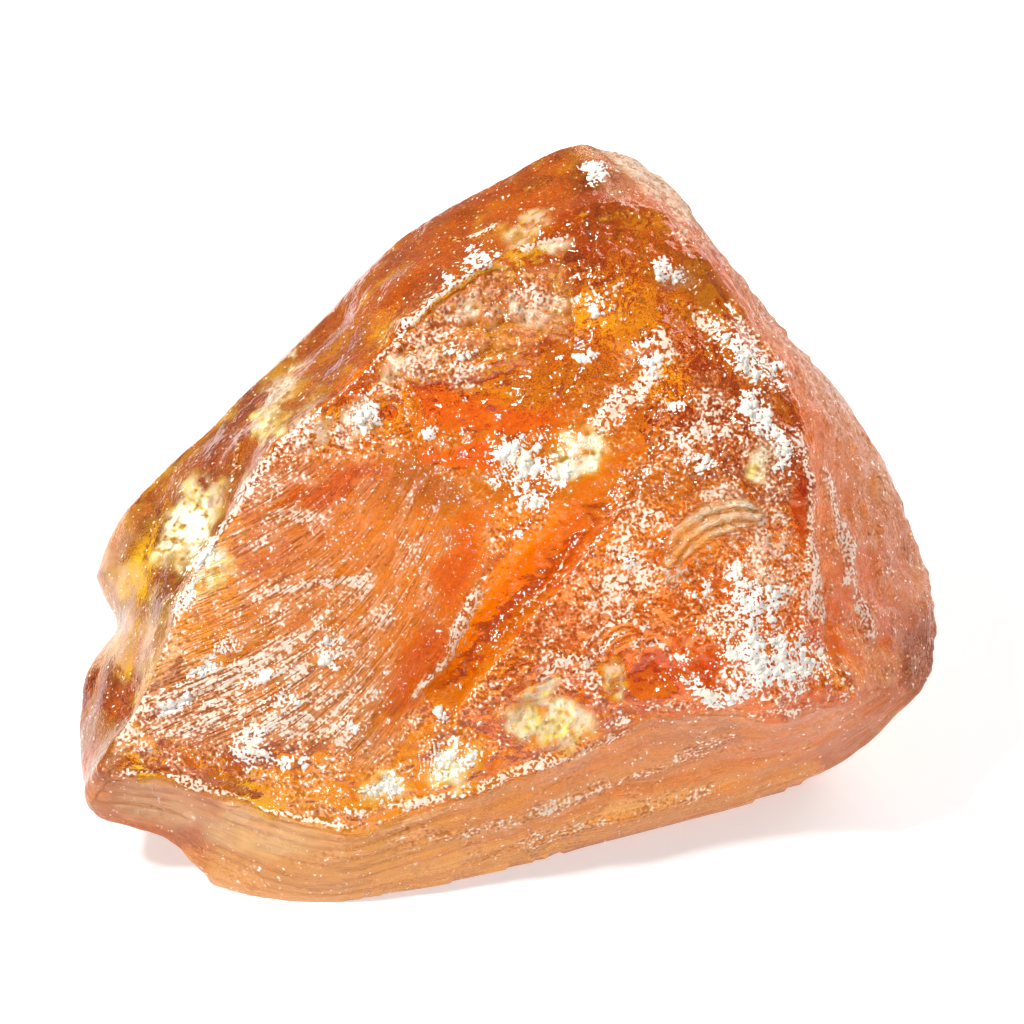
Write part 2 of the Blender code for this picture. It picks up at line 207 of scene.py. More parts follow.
rightStations = [
    apex,
    ((8.8, 17.6, 3.2), (7.2, 21.4, 9.0), 0.5, 0.6),
    ((9.7, 16.3, 2.9), (10.2, 18.9, 9.5), 0.5, 0.2),
    ((10.7, 15.2, 2.4), (11.0, 16.8, 9.5), 0.5, 0.0),
    ((13.1, 11.5, 2.0), (14.6, 13.0, 10.5), 0.5, 0.1),
    ((15.3, 8.3, 1.6), (17.8, 8.9, 11.5), 0.5, 0.3),
    ((16.7, 5.1, 1.2), (21.2, 5.3, 13.0), 0.5, 0.4),
    ((17.4, 0.7, 1.0), (24.0, 0.3, 14.0), 0.5, 0.5),
    ((17.5, -3.4, 1.0), (25.5, -3.8, 14.0), 0.5, 0.5),
    ((17.7, -7.2, 1.6), (26.4, -7.5, 12.8), 0.5, 0.2),
    rightBlock,
]
bottomStations = [
    rightBlock,
    ((17.9, -11.3, 1.7), (22.6, -11.6, 10.5), 0.55, 0.2),
    ((15.9, -11.8, 1.0), (21.6, -13.5, 12.4), 0.5, 0.2),
    ((13.6, -11.7, 0.6), (18.3, -15.9, 14.8), 0.45, 0.3),
    ((10.9, -11.2, 0.3), (13.1, -17.7, 12.6), 0.45, 0.4),
    ((7.7, -11.5, 0.0), (7.7, -19.1, 10.2), 0.45, 0.4),
    ((3.4, -13.5, -0.1), (2.0, -20.4, 7.6), 0.45, 0.4),
    ((-0.4, -15.1, -0.1), (-3.4, -21.7, 5.6), 0.45, 0.4),
    ((-4.2, -16.6, 0.0), (-7.5, -22.3, 4.3), 0.45, 0.4),
    ((-8.3, -18.3, 0.0), (-11.7, -23.2, 3.9), 0.45, 0.3),
    ((-12.3, -17.7, 0.1), (-15.4, -22.7, 4.4), 0.42, 0.3),
    ((-15.8, -16.5, 0.4), (-18.3, -20.9, 4.5), 0.42, 0.4),
    ((-19.3, -15.4, 0.4), (-19.7, -18.7, 4.8), 0.45, 0.6),
    wedgeTip,
]
# Sides in order round the rim, each with how much further out its shoulder starts.
sides = [(leftStations, 0.8), (topStations, 0.65), (rightStations, 0.1), (bottomStations, 1.15)]

# The lump behind its shoulder, side by side, as (across, back, height).
backEdge = [
    [(-18.5, -6.0, 3.2), (-21.5, 1.0, 4.6), (-21.3, 5.6, 8.0), (-20.5, 8.4, 13.5)],
    [(-20.5, 8.4, 13.5), (-17.0, 10.9, 18.0), (-11.0, 12.9, 24.0), (-4.0, 14.2, 29.5),
     (4.5, 14.0, 34.0)],
    [(4.5, 14.0, 34.0), (9.5, 14.1, 30.5), (15.5, 14.1, 24.5), (20.5, 13.4, 18.0),
     (23.0, 12.4, 12.0), (21.5, 9.9, 6.5)],
    [(21.5, 9.9, 6.5), (18.5, 9.0, 0.0), (12.0, 12.0, 0.0), (4.0, 13.4, 0.0), (-5.0, 12.0, 0.0),
     (-12.5, 7.0, 0.0), (-16.0, 0.0, 0.0), (-18.5, -6.0, 3.2)],
]
backFaceEdge = [
    [(-16.0, 3.5, 5.0), (-16.2, 8.0, 9.0), (-13.5, 12.0, 16.5)],
    [(-13.5, 12.0, 16.5), (-7.5, 14.2, 22.5), (3.0, 15.4, 28.0)],
    [(3.0, 15.4, 28.0), (10.0, 15.6, 22.5), (15.5, 15.2, 16.0), (16.5, 13.2, 8.0)],
    [(16.5, 13.2, 8.0), (8.5, 14.2, 4.5), (0.0, 14.8, 4.0), (-8.5, 12.0, 4.0), (-16.0, 3.5, 5.0)],
]


def stationPlaces(paths):
    # where each station falls along a side, 0 to 1, by the mean length of its paths
    shares = []
    for path in paths:
        runs = np.concatenate([[0], np.cumsum(np.linalg.norm(np.diff(path, axis=0), axis=1))])
        shares.append(runs / runs[-1])
    return np.mean(shares, axis=0)


def curveThrough(points, places, at):
    # a cubic between neighbours whose slopes come from the points on either side
    last = len(points) - 1
    low = np.maximum(np.arange(last + 1) - 1, 0)
    high = np.minimum(np.arange(last + 1) + 1, last)
    slopes = (points[high] - points[low]) / (places[high] - places[low])[:, None]
    i = np.clip(np.searchsorted(places, at, side="right") - 1, 0, last - 1)
    width = (places[i + 1] - places[i])[:, None]
    t = (at - places[i])[:, None] / width
    return (points[i] * (2 * t**3 - 3 * t**2 + 1) + points[i + 1] * (3 * t**2 - 2 * t**3)
            + width * (slopes[i] * (t**3 - 2 * t**2 + t) + slopes[i + 1] * (t**3 - t**2)))


def frontRings(cells):
    # rim, mid-flank and shoulder: middle = rim + share (shoulder - rim) + bulge outwards
    rings = [[], [], []]
    at = np.arange(cells) / cells
    for stations, allowance in sides:
        rimPoint = np.array([row[0] for row in stations])
        shoulderPoint = np.array([row[1] for row in stations])
        share = np.array([row[2] for row in stations])[:, None]
        bulge = np.array([row[3] for row in stations])[:, None]
        outward = unit(shoulderPoint * np.array([1.0, 1.0, 0.0]))
        rim = faceToLayout(rimPoint)
        shoulder = faceToLayout(shoulderPoint + outward * allowance)
        middle = rim + (shoulder - rim) * share + faceToLayout(outward * bulge) - frameOrigin
        places = stationPlaces([rim, shoulder])
        for ring, path in zip(rings, (rim, middle, shoulder)):
            ring.append(curveThrough(path, places, at))
    return [np.concatenate(ring) for ring in rings]


def ringFromSides(parts, cells):
    # a curve through each side's own points, laid end to end
    at = np.arange(cells) / cells
    return np.concatenate([curveThrough(np.array(side), stationPlaces([np.array(side)]), at)
                           for side in parts])


def stretchPatch(ring, cells, bow):
    # both rulings of the four-sided ring, less the corners' share, bowed at the middle
    s = (np.arange(cells + 1) / cells)[:, None, None]
    t = (np.arange(cells + 1) / cells)[None, :, None]
    left = ring[np.arange(cells + 1)][None]
    top = ring[cells + np.arange(cells + 1)][:, None]
    right = ring[3 * cells - np.arange(cells + 1)][None]
    bottom = ring[(4 * cells - np.arange(cells + 1)) % (4 * cells)][:, None]
    corners = (ring[0] * (1 - s) * (1 - t) + ring[cells] * (1 - s) * t
               + ring[2 * cells] * s * t + ring[3 * cells] * s * (1 - t))
    grid = bottom * (1 - t) + top * t + left * (1 - s) + right * s - corners
    return grid + np.array(bow) * (16 * s * (1 - s) * t * (1 - t))


def patchNumbers(ringNumbers, cells, firstNew):
    # vertex numbers of a patch: its edge is the ring's, its inside is new
    grid = np.zeros((cells + 1, cells + 1), int)
    k = np.arange(cells)
    grid[0, k] = ringNumbers[k]
    grid[k, cells] = ringNumbers[cells + k]
    grid[cells, cells - k] = ringNumbers[2 * cells + k]
    grid[cells - k, 0] = ringNumbers[3 * cells + k]
    grid[1:cells, 1:cells] = firstNew + np.arange((cells - 1)**2).reshape(cells - 1, cells - 1)
    return grid


def gridQuads(grid):
    # four neighbours of the grid make a quad: (i, j), (i+1, j), (i+1, j+1), (i, j+1)
    return np.stack([grid[:-1, :-1], grid[1:, :-1], grid[1:, 1:], grid[:-1, 1:]],
                    axis=-1).reshape(-1, 4)


def bandQuads(near, far):
    # two rings of equal count, each quad between a point and the one before it
    return np.stack([np.roll(near, 1), near, far, np.roll(far, 1)], axis=-1)


def buildBlank():
    # from the front: patch, flank in two bands, half the count, back band, tail band, patch
    cells = lump["frontCells"]
    rim, middle, shoulder = frontRings(cells)
    half = cells // 2
    edge = ringFromSides(backEdge, half)
    faceEdge = ringFromSides(backFaceEdge, half)
    points, depth, place, quads = [], [], [], []

    def addPoints(new, deep, places):
        points.append(new)
        depth.append(np.full(len(new), deep))
        place.append(places)
        return sum(map(len, points)) - len(new) + np.arange(len(new))

    def addRing(start, end, share, deep):
        return addPoints(start + (end - start) * share, deep + share,
                         np.arange(len(start)) * 4.0 / len(start))

    def addBand(near, start, end, rows, deep, first=1):
        for row in range(first, rows + 1):
            far = addRing(start, end, row / rows, deep)
            quads.append(bandQuads(near, far))
            near = far
        return near

    def addPatch(ring, numbers, cells, deep, bow):
        inside = stretchPatch(ring, cells, (0, bow, 0))[1:-1, 1:-1].reshape(-1, 3)
        new = addPoints(inside, deep, np.full(len(inside), -1.0))
        return gridQuads(patchNumbers(numbers, cells, new[0]))

    numbers = addRing(rim, rim, 0.0, 0.0)
    quads.append(addPatch(rim, numbers, cells, 0.0, 0))
    frontCount = sum(map(len, points))
    near = addBand(numbers, rim, middle, lump["flankRows"], 0.0)
    near = addBand(near, middle, shoulder, lump["flankRows"], 1.0)

    # the count halves between the shoulder and the first row behind it
    start = shoulder[::2]
    rows = lump["backRows"]
    far = addRing(start, edge, 1 / rows, 2.0)
    a, b, c = near[::2], near[1::2], np.roll(near[::2], -1)
    p, q = far, np.roll(far, -1)
    halving = np.concatenate([np.stack([a, b, p], 1), np.stack([b, q, p], 1),
                              np.stack([b, c, q], 1)])
    near = addBand(far, start, edge, rows, 2.0, 2)
    near = addBand(near, edge, faceEdge, lump["tailRows"], 3.0)
    quads.append(addPatch(faceEdge, near, half, 4.0, lump["backBow"])[:, ::-1])
    return {
        "points": np.concatenate(points), "quads": np.concatenate(quads), "halving": halving,
        "depth": np.concatenate(depth), "place": np.concatenate(place),
        "rimCount": 4 * cells, "frontCount": frontCount,
    }


def triangles(blank, points):
    # each quad is cut along its shorter diagonal
    q = blank["quads"]
    one = np.linalg.norm(points[q[:, 0]] - points[q[:, 2]], axis=1)
    two = np.linalg.norm(points[q[:, 1]] - points[q[:, 3]], axis=1)
    short = (one <= two)[:, None]
    first = np.where(short, q[:, [0, 1, 2]], q[:, [0, 1, 3]])
    second = np.where(short, q[:, [0, 2, 3]], q[:, [1, 2, 3]])
    return np.concatenate([first, second, blank["halving"]])


def vertexNormals(points, tris):
    # the sum of the cross products of the triangles that meet at each point
    a, b, c = points[tris[:, 0]], points[tris[:, 1]], points[tris[:, 2]]
    flat = np.cross(b - a, c - a)
    total = np.zeros_like(points)
    for corner in range(3):
        for axis in range(3):
            total[:, axis] += np.bincount(tris[:, corner], flat[:, axis], len(points))
    return unit(total)


def neighbourPairs(tris):
    # every edge once, then once more the other way round
    pairs = np.concatenate([tris[:, [0, 1]], tris[:, [1, 2]], tris[:, [2, 0]]])
    pairs = np.unique(np.sort(pairs, axis=1), axis=0)
    return np.concatenate([pairs, pairs[:, ::-1]])


def wear(points, pairs, weight, passes):
    # each point moves half-way to the mean of its neighbours, as far as its weight lets it
    share = np.bincount(pairs[:, 0], minlength=len(points))[:, None]
    for _ in range(passes):
        total = np.stack([np.bincount(pairs[:, 0], points[pairs[:, 1], axis], len(points))
                          for axis in range(3)], axis=1)
        points = points + (total / share - points) * 0.5 * weight[:, None]
    return points


blank = buildBlank()
points = blank["points"]
tris = triangles(blank, points)
volume = np.einsum("ij,ij->i", points[tris[:, 0]],
                   np.cross(points[tris[:, 1]], points[tris[:, 2]])).sum() / 6
if volume < 0:
    tris = tris[:, ::-1]
pairs = neighbourPairs(tris)
rimCount = blank["rimCount"]
frontCount = blank["frontCount"]
front = slice(0, frontCount)
depth = blank["depth"]
place = blank["place"]
everyPoint = len(points)

keepRim = np.ones(everyPoint)
keepRim[:rimCount] = 0.0
points = wear(points, pairs, keepRim, lump["wearPasses"])
points = wear(points, pairs, np.ones(everyPoint), lump["rimWearPasses"])
print("blank worn,", everyPoint, "points,", len(tris), "triangles")

# Scoops: place, radius of the hollow's sphere, depth, ripple height and spacing.
faceScoops = {
    "thumbnailChip": ((-7.4, 5.6), 2.4, 0.5, 0.03, 0.45),
    "flakeScar": ((12.6, -3.4), 7.5, 0.75, 0.03, 0.7),
    "deepChip": ((8.4, -9.4), 3.2, 0.6, 0.0, 1.0),
    "lowerHollow": ((2.8, -11.6), 5.0, 0.6, 0.0, 1.0),
    "lowerSliver": ((-15.4, -16.4), 4.0, 0.55, 0.0, 1.0),
    "tipSliver": ((-20.4, -15.2), 3.0, 0.4, 0.0, 1.0),
    "rimChip": ((11.6, 13.0), 4.5, 0.7, 0.0, 1.0),
    "crownHollow": ((2.0, 14.0), 9.0, 0.6, 0.02, 0.9),
}
# Breaks on the rest of the lump, by the direction they face from its centre.
bodyCentre = (0.0, 1.0, 14.0)
bodyBreaks = {
    "backLeft": ((-0.75, 0.62, 0.22), 30.0, 1.5, 0.06, 2.4),
    "backHigh": ((-0.15, 0.85, 0.50), 34.0, 1.6, 0.06, 2.8),
    "backRight": ((0.62, 0.78, 0.05), 28.0, 1.6, 0.06, 2.2),
    "backLow": ((-0.10, 0.96, -0.25), 22.0, 1.3, 0.05, 1.8),
    "rightHeel": ((0.90, 0.40, -0.20), 16.0, 0.9, 0.04, 1.5),
    "leftHeel": ((-0.93, 0.05, -0.36), 14.0, 0.6, 0.03, 1.2),
    "crestBite": ((-0.62, 0.55, 0.56), 8.0, 0.6, 0.03, 1.0),
    "rightRidgeBite": ((0.66, 0.55, 0.50), 12.0, 0.8, 0.04, 1.2),
}


def strike(points, target, outward, radius, depth, ripple, spacing):
    # everything inside the sphere is pushed out on to it, with ripples round the strike
    centre = target + outward * (radius - depth)
    away = points - centre
    gap = np.linalg.norm(away, axis=1)
    inside = gap < radius
    reach = math.sqrt(2 * radius * depth)
    spread = np.linalg.norm(points - (target + np.array([reach, 0, -reach]) * 0.5), axis=1)
    wave = ripple * np.sin(2 * math.pi * spread / spacing)
    fade = softStep(0.0, depth * 0.5, radius - gap)
    moved = centre + away / gap[:, None] * (radius + wave * fade)[:, None]
    return np.where(inside[:, None], moved, points), softStep(0, 0.3 * depth, radius - gap)


bodyCentreAt = np.array(bodyCentre)
struck = np.zeros(everyPoint)
for heading, radius, deep, ripple, spacing in bodyBreaks.values():
    outward = unit(np.array(heading))
    target = points[np.argmax(unit(points - bodyCentreAt) @ outward)].copy()
    points, mask = strike(points, target, outward, radius, deep, ripple, spacing)
    struck = np.maximum(struck, mask)
for at, radius, deep, ripple, spacing in faceScoops.values():
    gap = np.linalg.norm(layoutToFace(points[front])[:, :2] - np.array(at), axis=1)
    target = points[np.argmin(gap)].copy()
    points, mask = strike(points, target, faceNormal, radius, deep, ripple, spacing)

# Steps across the front face and the groove between them, as (across, up).
scarp = {
    "line": [(10.9, 6.8), (7.5, 2.4), (6.6, 0.5), (4.8, -1.3), (3.0, -3.5), (1.5, -5.2),
             (0.1, -6.9), (-1.6, -9.1), (-3.6, -12.0)],
    "height": 0.8, "fall": 7.0, "foot": -0.25, "head": 0.45, "fadeIn": 0.25, "fadeOut": 0.07,
}
ledge = {
    "line": [(-7.6, 8.6), (-5.2, 7.3), (-2.2, 7.6), (0.6, 8.6), (3.7, 10.6), (7.0, 12.2)],
    "height": 0.6, "fall": 4.0, "foot": -0.3, "head": 0.7, "fadeIn": 0.15, "fadeOut": 0.15,
}
groove = {"depth": 1.0, "place": -1.1, "halfWidth": 1.7, "upperShare": 0.35,
          "lowerHalf": (0.2, 0.6), "lip": 0.35, "lipPlace": -3.2, "lipHalfWidth": 0.45}


def ledgeHeight(row, places):
    # a step up across the line, sinking back to the plain face beyond it
    offset, share = lineOffset(row["line"], places)
    ends = softStep(0, row["fadeIn"], share) * (1 - softStep(1 - row["fadeOut"], 1, share))
    rise = softStep(row["foot"], row["head"], offset)
    sink = np.exp(-np.maximum(offset, 0) / row["fall"])
    return row["height"] * rise * sink * ends, offset, share, ends


facePlaces = layoutToFace(points)[:, :2]
frontPlaces = facePlaces[front]
rimPlaces = facePlaces[:rimCount]
nearRim = np.concatenate([
    np.sqrt(((chunk[:, None] - rimPlaces[None])**2).sum(axis=2).min(axis=1))
    for chunk in np.array_split(frontPlaces, 16)])
inward = softStep(0, 2.0, nearRim)

scarpHeight, scarpOffset, scarpShare, scarpEnds = ledgeHeight(scarp, frontPlaces)
lowerHalf = softStep(*groove["lowerHalf"], scarpShare)
grooveAcross = np.minimum(np.abs(scarpOffset - groove["place"]) / groove["halfWidth"], 1)
grooveDepth = (groove["depth"] * (groove["upperShare"] + (1 - groove["upperShare"]) * lowerHalf)
               * (1 - grooveAcross**2)**2 * scarpEnds)
lipHeight = (groove["lip"] * np.exp(-((scarpOffset - groove["lipPlace"])
                                      / groove["lipHalfWidth"])**2) * scarpEnds * lowerHalf)
relief = scarpHeight - grooveDepth + lipHeight + ledgeHeight(ledge, frontPlaces)[0]
points[front] += faceNormal * (relief * inward)[:, None]
print("breaks, ledges and groove done")

# Where each kind of ground is on the front face, as (across, up) outlines; the band under the ledge
# and the scarp's slope mark painted shade.
regions = {
    "fan": [(-14.8, 2.0), (-12.3, 3.5), (-9.3, 2.9), (-6.5, 2.7), (-3.6, 1.7), (-1.9, -0.5),
            (-1.5, -2.8), (-2.9, -6.3), (-4.8, -10.3), (-6.2, -13.0), (-8.8, -14.4),
            (-12.3, -13.3), (-15.2, -13.5), (-19.3, -13.8), (-22.2, -13.5), (-23.7, -14.7),
            (-21.0, -10.2), (-19.9, -7.4), (-17.8, -2.8), (-15.8, 0.7)],
    "popcorn": [(-7.7, 8.1), (-6.8, 10.0), (-4.8, 12.3), (-2.4, 13.8), (0.5, 14.5), (3.7, 14.2),
                (4.0, 12.3), (2.8, 10.3), (0.5, 9.3), (-2.4, 8.7), (-4.8, 7.4), (-6.5, 7.0)],
    "roughMiddle": [(-14.5, 2.9), (-12.3, 5.3), (-9.4, 7.1), (-6.5, 6.5), (-4.2, 5.1),
                    (-2.4, 4.2), (0.5, 3.6), (-0.7, 1.9), (-4.2, 2.2), (-7.7, 2.9),
                    (-11.2, 3.3), (-13.2, 2.9)],
    "goldenCrown": [(-0.7, 15.2), (2.8, 16.9), (5.1, 17.7), (8.0, 17.6), (9.3, 15.8),
                    (10.3, 12.9), (9.8, 10.6), (7.4, 9.7), (5.1, 10.6), (3.1, 12.3),
                    (1.0, 14.5)],
    "ledgeShade": [(-2.3, 9.4), (0.5, 9.3), (3.7, 10.3), (5.7, 10.6), (5.1, 8.3), (3.4, 6.8),
                 (0.5, 7.0), (-2.4, 6.5), (-4.2, 6.8)],
    "scarpShade": [(2.8, 0.4), (5.1, 2.4), (7.4, 4.8), (10.3, 6.8), (11.2, 6.2), (8.6, 3.9),
                  (6.3, 1.3), (4.2, -1.0), (2.8, -1.0)],
    "rightField": [(5.1, -1.0), (7.4, 1.9), (10.9, 4.8), (14.4, 6.5), (16.2, 2.4),
                   (16.7, -2.8), (16.2, -5.1), (13.3, -5.1), (10.3, -3.4), (7.4, -5.1),
                   (4.5, -8.0), (0.5, -8.0), (2.8, -5.1)],
}
# Patches seen square to the face: (across, up, half-width, half-height, turn in degrees).
crustPatches = [
    (0.8, 2.9, 1.5, 1.1, 0), (1.9, 2.4, 1.2, 0.7, 20), (0.8, 0.6, 0.8, 0.7, -40),
    (0.5, -1.5, 0.4, 0.3, 0), (14.2, -5.1, 1.2, 1.4, 10), (15.1, -8.3, 2.1, 1.3, -10),
    (16.5, -9.2, 1.4, 0.8, 0), (11.8, -10.3, 1.5, 0.5, -8), (14.0, 8.6, 1.4, 0.7, -35),
    (14.1, 5.6, 0.8, 1.1, 0), (15.4, 3.7, 0.6, 1.3, 10), (-1.9, 14.8, 0.9, 0.6, 30),
    (-4.0, 13.4, 0.35, 0.3, 0), (-15.1, -13.8, 0.9, 1.0, 30), (-13.1, -14.8, 0.4, 0.3, 0),
    (-11.9, -14.5, 0.3, 0.3, 0), (-10.5, -8.2, 0.5, 0.6, 0), (-13.3, -10.9, 0.6, 0.4, 30),
    (-9.1, -12.3, 0.5, 0.4, 0), (-7.4, -15.9, 0.8, 0.7, 0), (-3.5, -14.5, 1.1, 1.1, 40),
    (-2.9, 9.4, 0.7, 0.5, 0), (-18.1, -2.5, 0.7, 0.8, -30), (-19.2, -4.6, 0.4, 0.7, -20),
    (-9.1, -17.0, 0.5, 0.3, 0), (9.9, -8.7, 0.35, 0.4, 0), (8.9, 14.5, 0.5, 0.4, -40),
    (9.2, 13.8, 0.45, 0.4, 0), (9.5, 6.5, 0.5, 0.4, 0), (10.9, 2.4, 0.5, 0.4, 0),
    (6.4, -3.2, 0.3, 0.2, 0), (11.2, -4.6, 0.5, 0.3, 60), (13.0, -3.2, 0.4, 0.3, 0),
    (-8.6, 5.4, 0.9, 0.7, 30), (-16.5, -8.0, 0.9, 0.35, 25), (-14.4, -9.6, 0.9, 0.3, 25),
    (-18.2, -9.6, 0.9, 0.3, 28), (-19.6, -11.2, 0.8, 0.3, 25), (-3.9, -12.1, 0.4, 0.3, 0),
    (5.3, 12.2, 0.4, 0.3, 0), (4.9, 19.9, 0.6, 0.4, 10), (-5.0, 4.6, 0.4, 0.3, 0),
    (4.3, 8.9, 0.6, 0.3, 20), (7.8, 10.0, 0.5, 0.3, 60), (8.2, 8.3, 0.5, 0.4, 60),
]
patches = {
    "window": [(11.3, 13.4, 2.5, 0.8, -47)],
    "lobe": [
        (-23.6, -3.6, 1.7, 2.7, -30), (-22.0, -8.2, 2.2, 2.1, 0), (-23.9, -13.6, 1.2, 1.6, 0),
        (-21.0, -16.8, 3.6, 1.2, -12), (-15.0, -18.6, 3.4, 1.2, -10),
    ],
    "golden": [
        (-17.1, 3.5, 1.1, 1.8, -35), (-14.8, 3.7, 0.5, 0.9, -10), (4.6, 11.6, 1.0, 0.9, 20),
        (9.1, 7.4, 1.1, 0.9, 30), (7.4, 17.2, 1.4, 0.7, -25), (-20.8, -15.2, 1.6, 0.4, -8),
        (-15.3, -16.4, 2.1, 0.6, -18), (-4.2, 15.3, 1.8, 0.9, 35), (-7.5, 12.6, 2.2, 0.8, 42),
        (1.0, 18.2, 2.2, 0.7, 25), (0.9, 17.0, 1.5, 0.8, 25), (-10.9, 5.2, 0.45, 1.6, -22),
        (6.0, -9.9, 0.6, 1.0, 10), (-21.5, -9.5, 0.6, 1.1, -30), (-22.2, -2.4, 1.0, 0.7, 0),
    ],
    "yellow": [
        (0.9, 16.9, 1.3, 0.7, 30), (-19.1, -0.2, 1.2, 2.3, -30), (-14.6, 5.1, 0.9, 0.9, 0),
        (-7.4, -15.9, 1.0, 0.9, 0), (-3.4, -14.9, 1.3, 1.0, 30), (2.4, -12.2, 2.1, 1.2, -15),
        (6.2, -9.9, 0.5, 0.9, 10), (14.0, 2.5, 0.6, 0.6, 0), (3.8, 3.4, 1.5, 1.1, 30),
        (-17.8, -3.4, 1.2, 1.4, -30), (1.6, -10.2, 1.3, 0.5, 20),
    ],
    "cream": [
        (-13.9, 7.4, 0.9, 0.9, 45), (-11.8, 5.0, 1.1, 0.9, 40), (-9.2, 5.2, 0.9, 1.0, -30),
        (-5.8, 8.7, 1.6, 0.7, 25), (1.6, 15.6, 1.4, 0.35, 12), (-19.4, -1.0, 0.8, 1.6, -30),
        (8.0, 20.3, 2.4, 1.0, -35), (9.6, 18.6, 0.8, 1.6, 20), (-13.0, 8.9, 0.5, 0.4, 40),
        (14.6, 4.2, 0.8, 1.6, 5), (12.8, 0.4, 1.3, 0.5, -30), (15.0, -2.5, 0.8, 2.4, 5),
        (-2.6, 12.3, 1.2, 0.6, 20), (3.7, 3.2, 1.4, 0.9, 30), (1.0, 12.0, 1.6, 0.7, 10),
    ],
    "brown": [
        (-10.6, 9.8, 2.0, 1.5, 42), (5.6, 14.0, 1.6, 1.2, 0), (-4.0, 17.2, 3.4, 0.9, 32),
        (4.9, 18.6, 1.8, 1.2, -20), (11.4, 13.2, 1.9, 0.7, -50), (13.4, 5.4, 0.7, 1.3, 10),
        (-16.4, 5.6, 2.4, 0.5, 45), (-24.0, -13.0, 1.4, 2.6, 0), (-21.4, -0.9, 1.2, 0.9, -30),
        (5.4, 1.9, 2.6, 0.9, 42), (9.0, 4.6, 2.2, 0.8, 30),
        (2.6, 7.6, 3.2, 0.9, 15), (-23.4, -10.6, 0.9, 1.5, -35), (24.6, -8.5, 1.0, 2.2, 0),
        (-5.2, 13.4, 1.4, 0.8, 40), (-18.0, 2.2, 0.5, 1.2, -30), (-15.5, 6.4, 1.2, 0.4, 45),
    ],
    "pure": [
        (-1.8, 5.8, 4.2, 1.2, -6), (-5.8, -8.9, 1.0, 2.8, -20),
        (-3.2, -3.5, 0.8, 2.6, -12), (8.3, -9.4, 1.5, 1.2, 0), (11.4, -9.3, 0.5, 0.9, 0),
        (-2.0, -15.1, 0.9, 0.6, -20), (-8.2, -16.3, 1.3, 0.4, -25), (17.0, 0.5, 0.5, 2.2, 5),
        (-2.5, 3.2, 2.5, 0.5, 0), (-10.5, 1.4, 2.4, 0.7, 20), (10.0, -1.8, 1.6, 0.8, 20),
        (-6.2, 5.5, 0.8, 0.9, 0), (-8.8, 4.5, 0.5, 0.5, 0),
    ],
    "frosted": [
        (-18.5, -11.0, 3.4, 1.6, 25), (-14.5, -9.0, 4.0, 1.0, 28), (-13.0, -12.6, 4.0, 0.9, 5),
        (7.2, 6.9, 3.4, 0.6, 42), (11.6, 4.9, 2.2, 1.4, 0), (7.8, -2.6, 2.4, 2.0, 40),
        (14.8, -9.6, 3.6, 1.2, 5), (12.2, 10.9, 1.0, 2.2, 35), (-12.8, 0.2, 2.0, 0.8, 20),
        (16.6, -6.0, 0.8, 2.5, 0), (-4.6, 7.9, 3.0, 0.8, 15), (3.0, -9.4, 2.2, 0.9, 0),
        (12.9, -6.8, 1.8, 1.6, 0), (1.5, 13.3, 2.5, 0.9, 10), (-5.6, 10.6, 1.8, 1.4, 45),
    ],
}


def onFront(values):
    # the given values on the front face, 0 on the rest of the lump
    whole = np.zeros(everyPoint)
    whole[front] = values
    return whole


seen = (depth < 2.3).astype(float)
wobble = np.stack([layeredNoise(points * 0.7, 3, 51), layeredNoise(points * 0.7, 3, 57)], axis=1)
roamed = facePlaces + 0.5 * wobble
isFront = onFront(1.0)
flank = softStep(0.0, 0.25, depth)


def frontMask(name, soft):
    # 1 inside the named outline on the front face, 0 elsewhere
    return onFront(insideRegion(regions[name], roamed[front], soft))


def patchMask(rows, soft=0.7):
    # the strongest of a list of turned ellipses, on everything that faces the front
    mask = np.zeros(everyPoint)
    for x, y, halfWidth, halfHeight, turn in rows:
        c, d = math.cos(math.radians(turn)), math.sin(math.radians(turn))
        away = roamed - np.array([x, y])
        reach = np.hypot((away[:, 0] * c + away[:, 1] * d) / halfWidth,
                         (away[:, 1] * c - away[:, 0] * d) / halfHeight)
        mask = np.maximum(mask, 1 - softStep(1 - soft / 2, 1 + soft, reach))
    return mask * seen


def ringMask(start, end, soft=0.08):
    # the part of the flank between two places round the ring, 0 to 4
    middle = (start + end) / 2
    away = np.abs((place - middle + 2) % 4 - 2)
    return (1 - softStep((end - start) / 2 - soft, (end - start) / 2 + soft, away)) * (place >= 0)


fan = frontMask("fan", 2.0)
popcorn = frontMask("popcorn", 1.2)
roughMiddle = frontMask("roughMiddle", 1.6)
goldenCrown = frontMask("goldenCrown", 1.6)
ledgeShade = frontMask("ledgeShade", 1.6)
scarpShade = frontMask("scarpShade", 1.2)
rightField = frontMask("rightField", 2.0)
leftFlank = ringMask(0.0, 1.0) * flank
topFlank = ringMask(1.0, 2.0) * flank
rightFlank = ringMask(2.0, 3.0) * flank
underFlank = ringMask(3.0, 4.0) * flank
crust = patchMask(crustPatches, 1.5) * (0.6 + 0.4 * softStep(
    -0.3, 0.2, layeredNoise(points * 1.3, 2, 67)))
patch = {name: patchMask(rows) for name, rows in patches.items()}
print("grounds placed")

# The fan's ribs run along rise = slope x + cube x^3, with x measured from the left.
fanCurve = {"from": -18.1, "slope": 0.42, "cube": 0.00283, "along": 0.08}
fromLeft = facePlaces[:, 0] - fanCurve["from"]
rib = facePlaces[:, 1] - (fanCurve["slope"] * fromLeft + fanCurve["cube"] * fromLeft**3)
grain = np.stack([fanCurve["along"] * fromLeft, rib, fanCurve["along"] * facePlaces[:, 1]],
                 axis=1)
# Streaks run round the flank: fine across the depth, long round the ring.
streak = np.stack([place * 2.2, depth * 7.0, np.zeros(everyPoint)], axis=1)


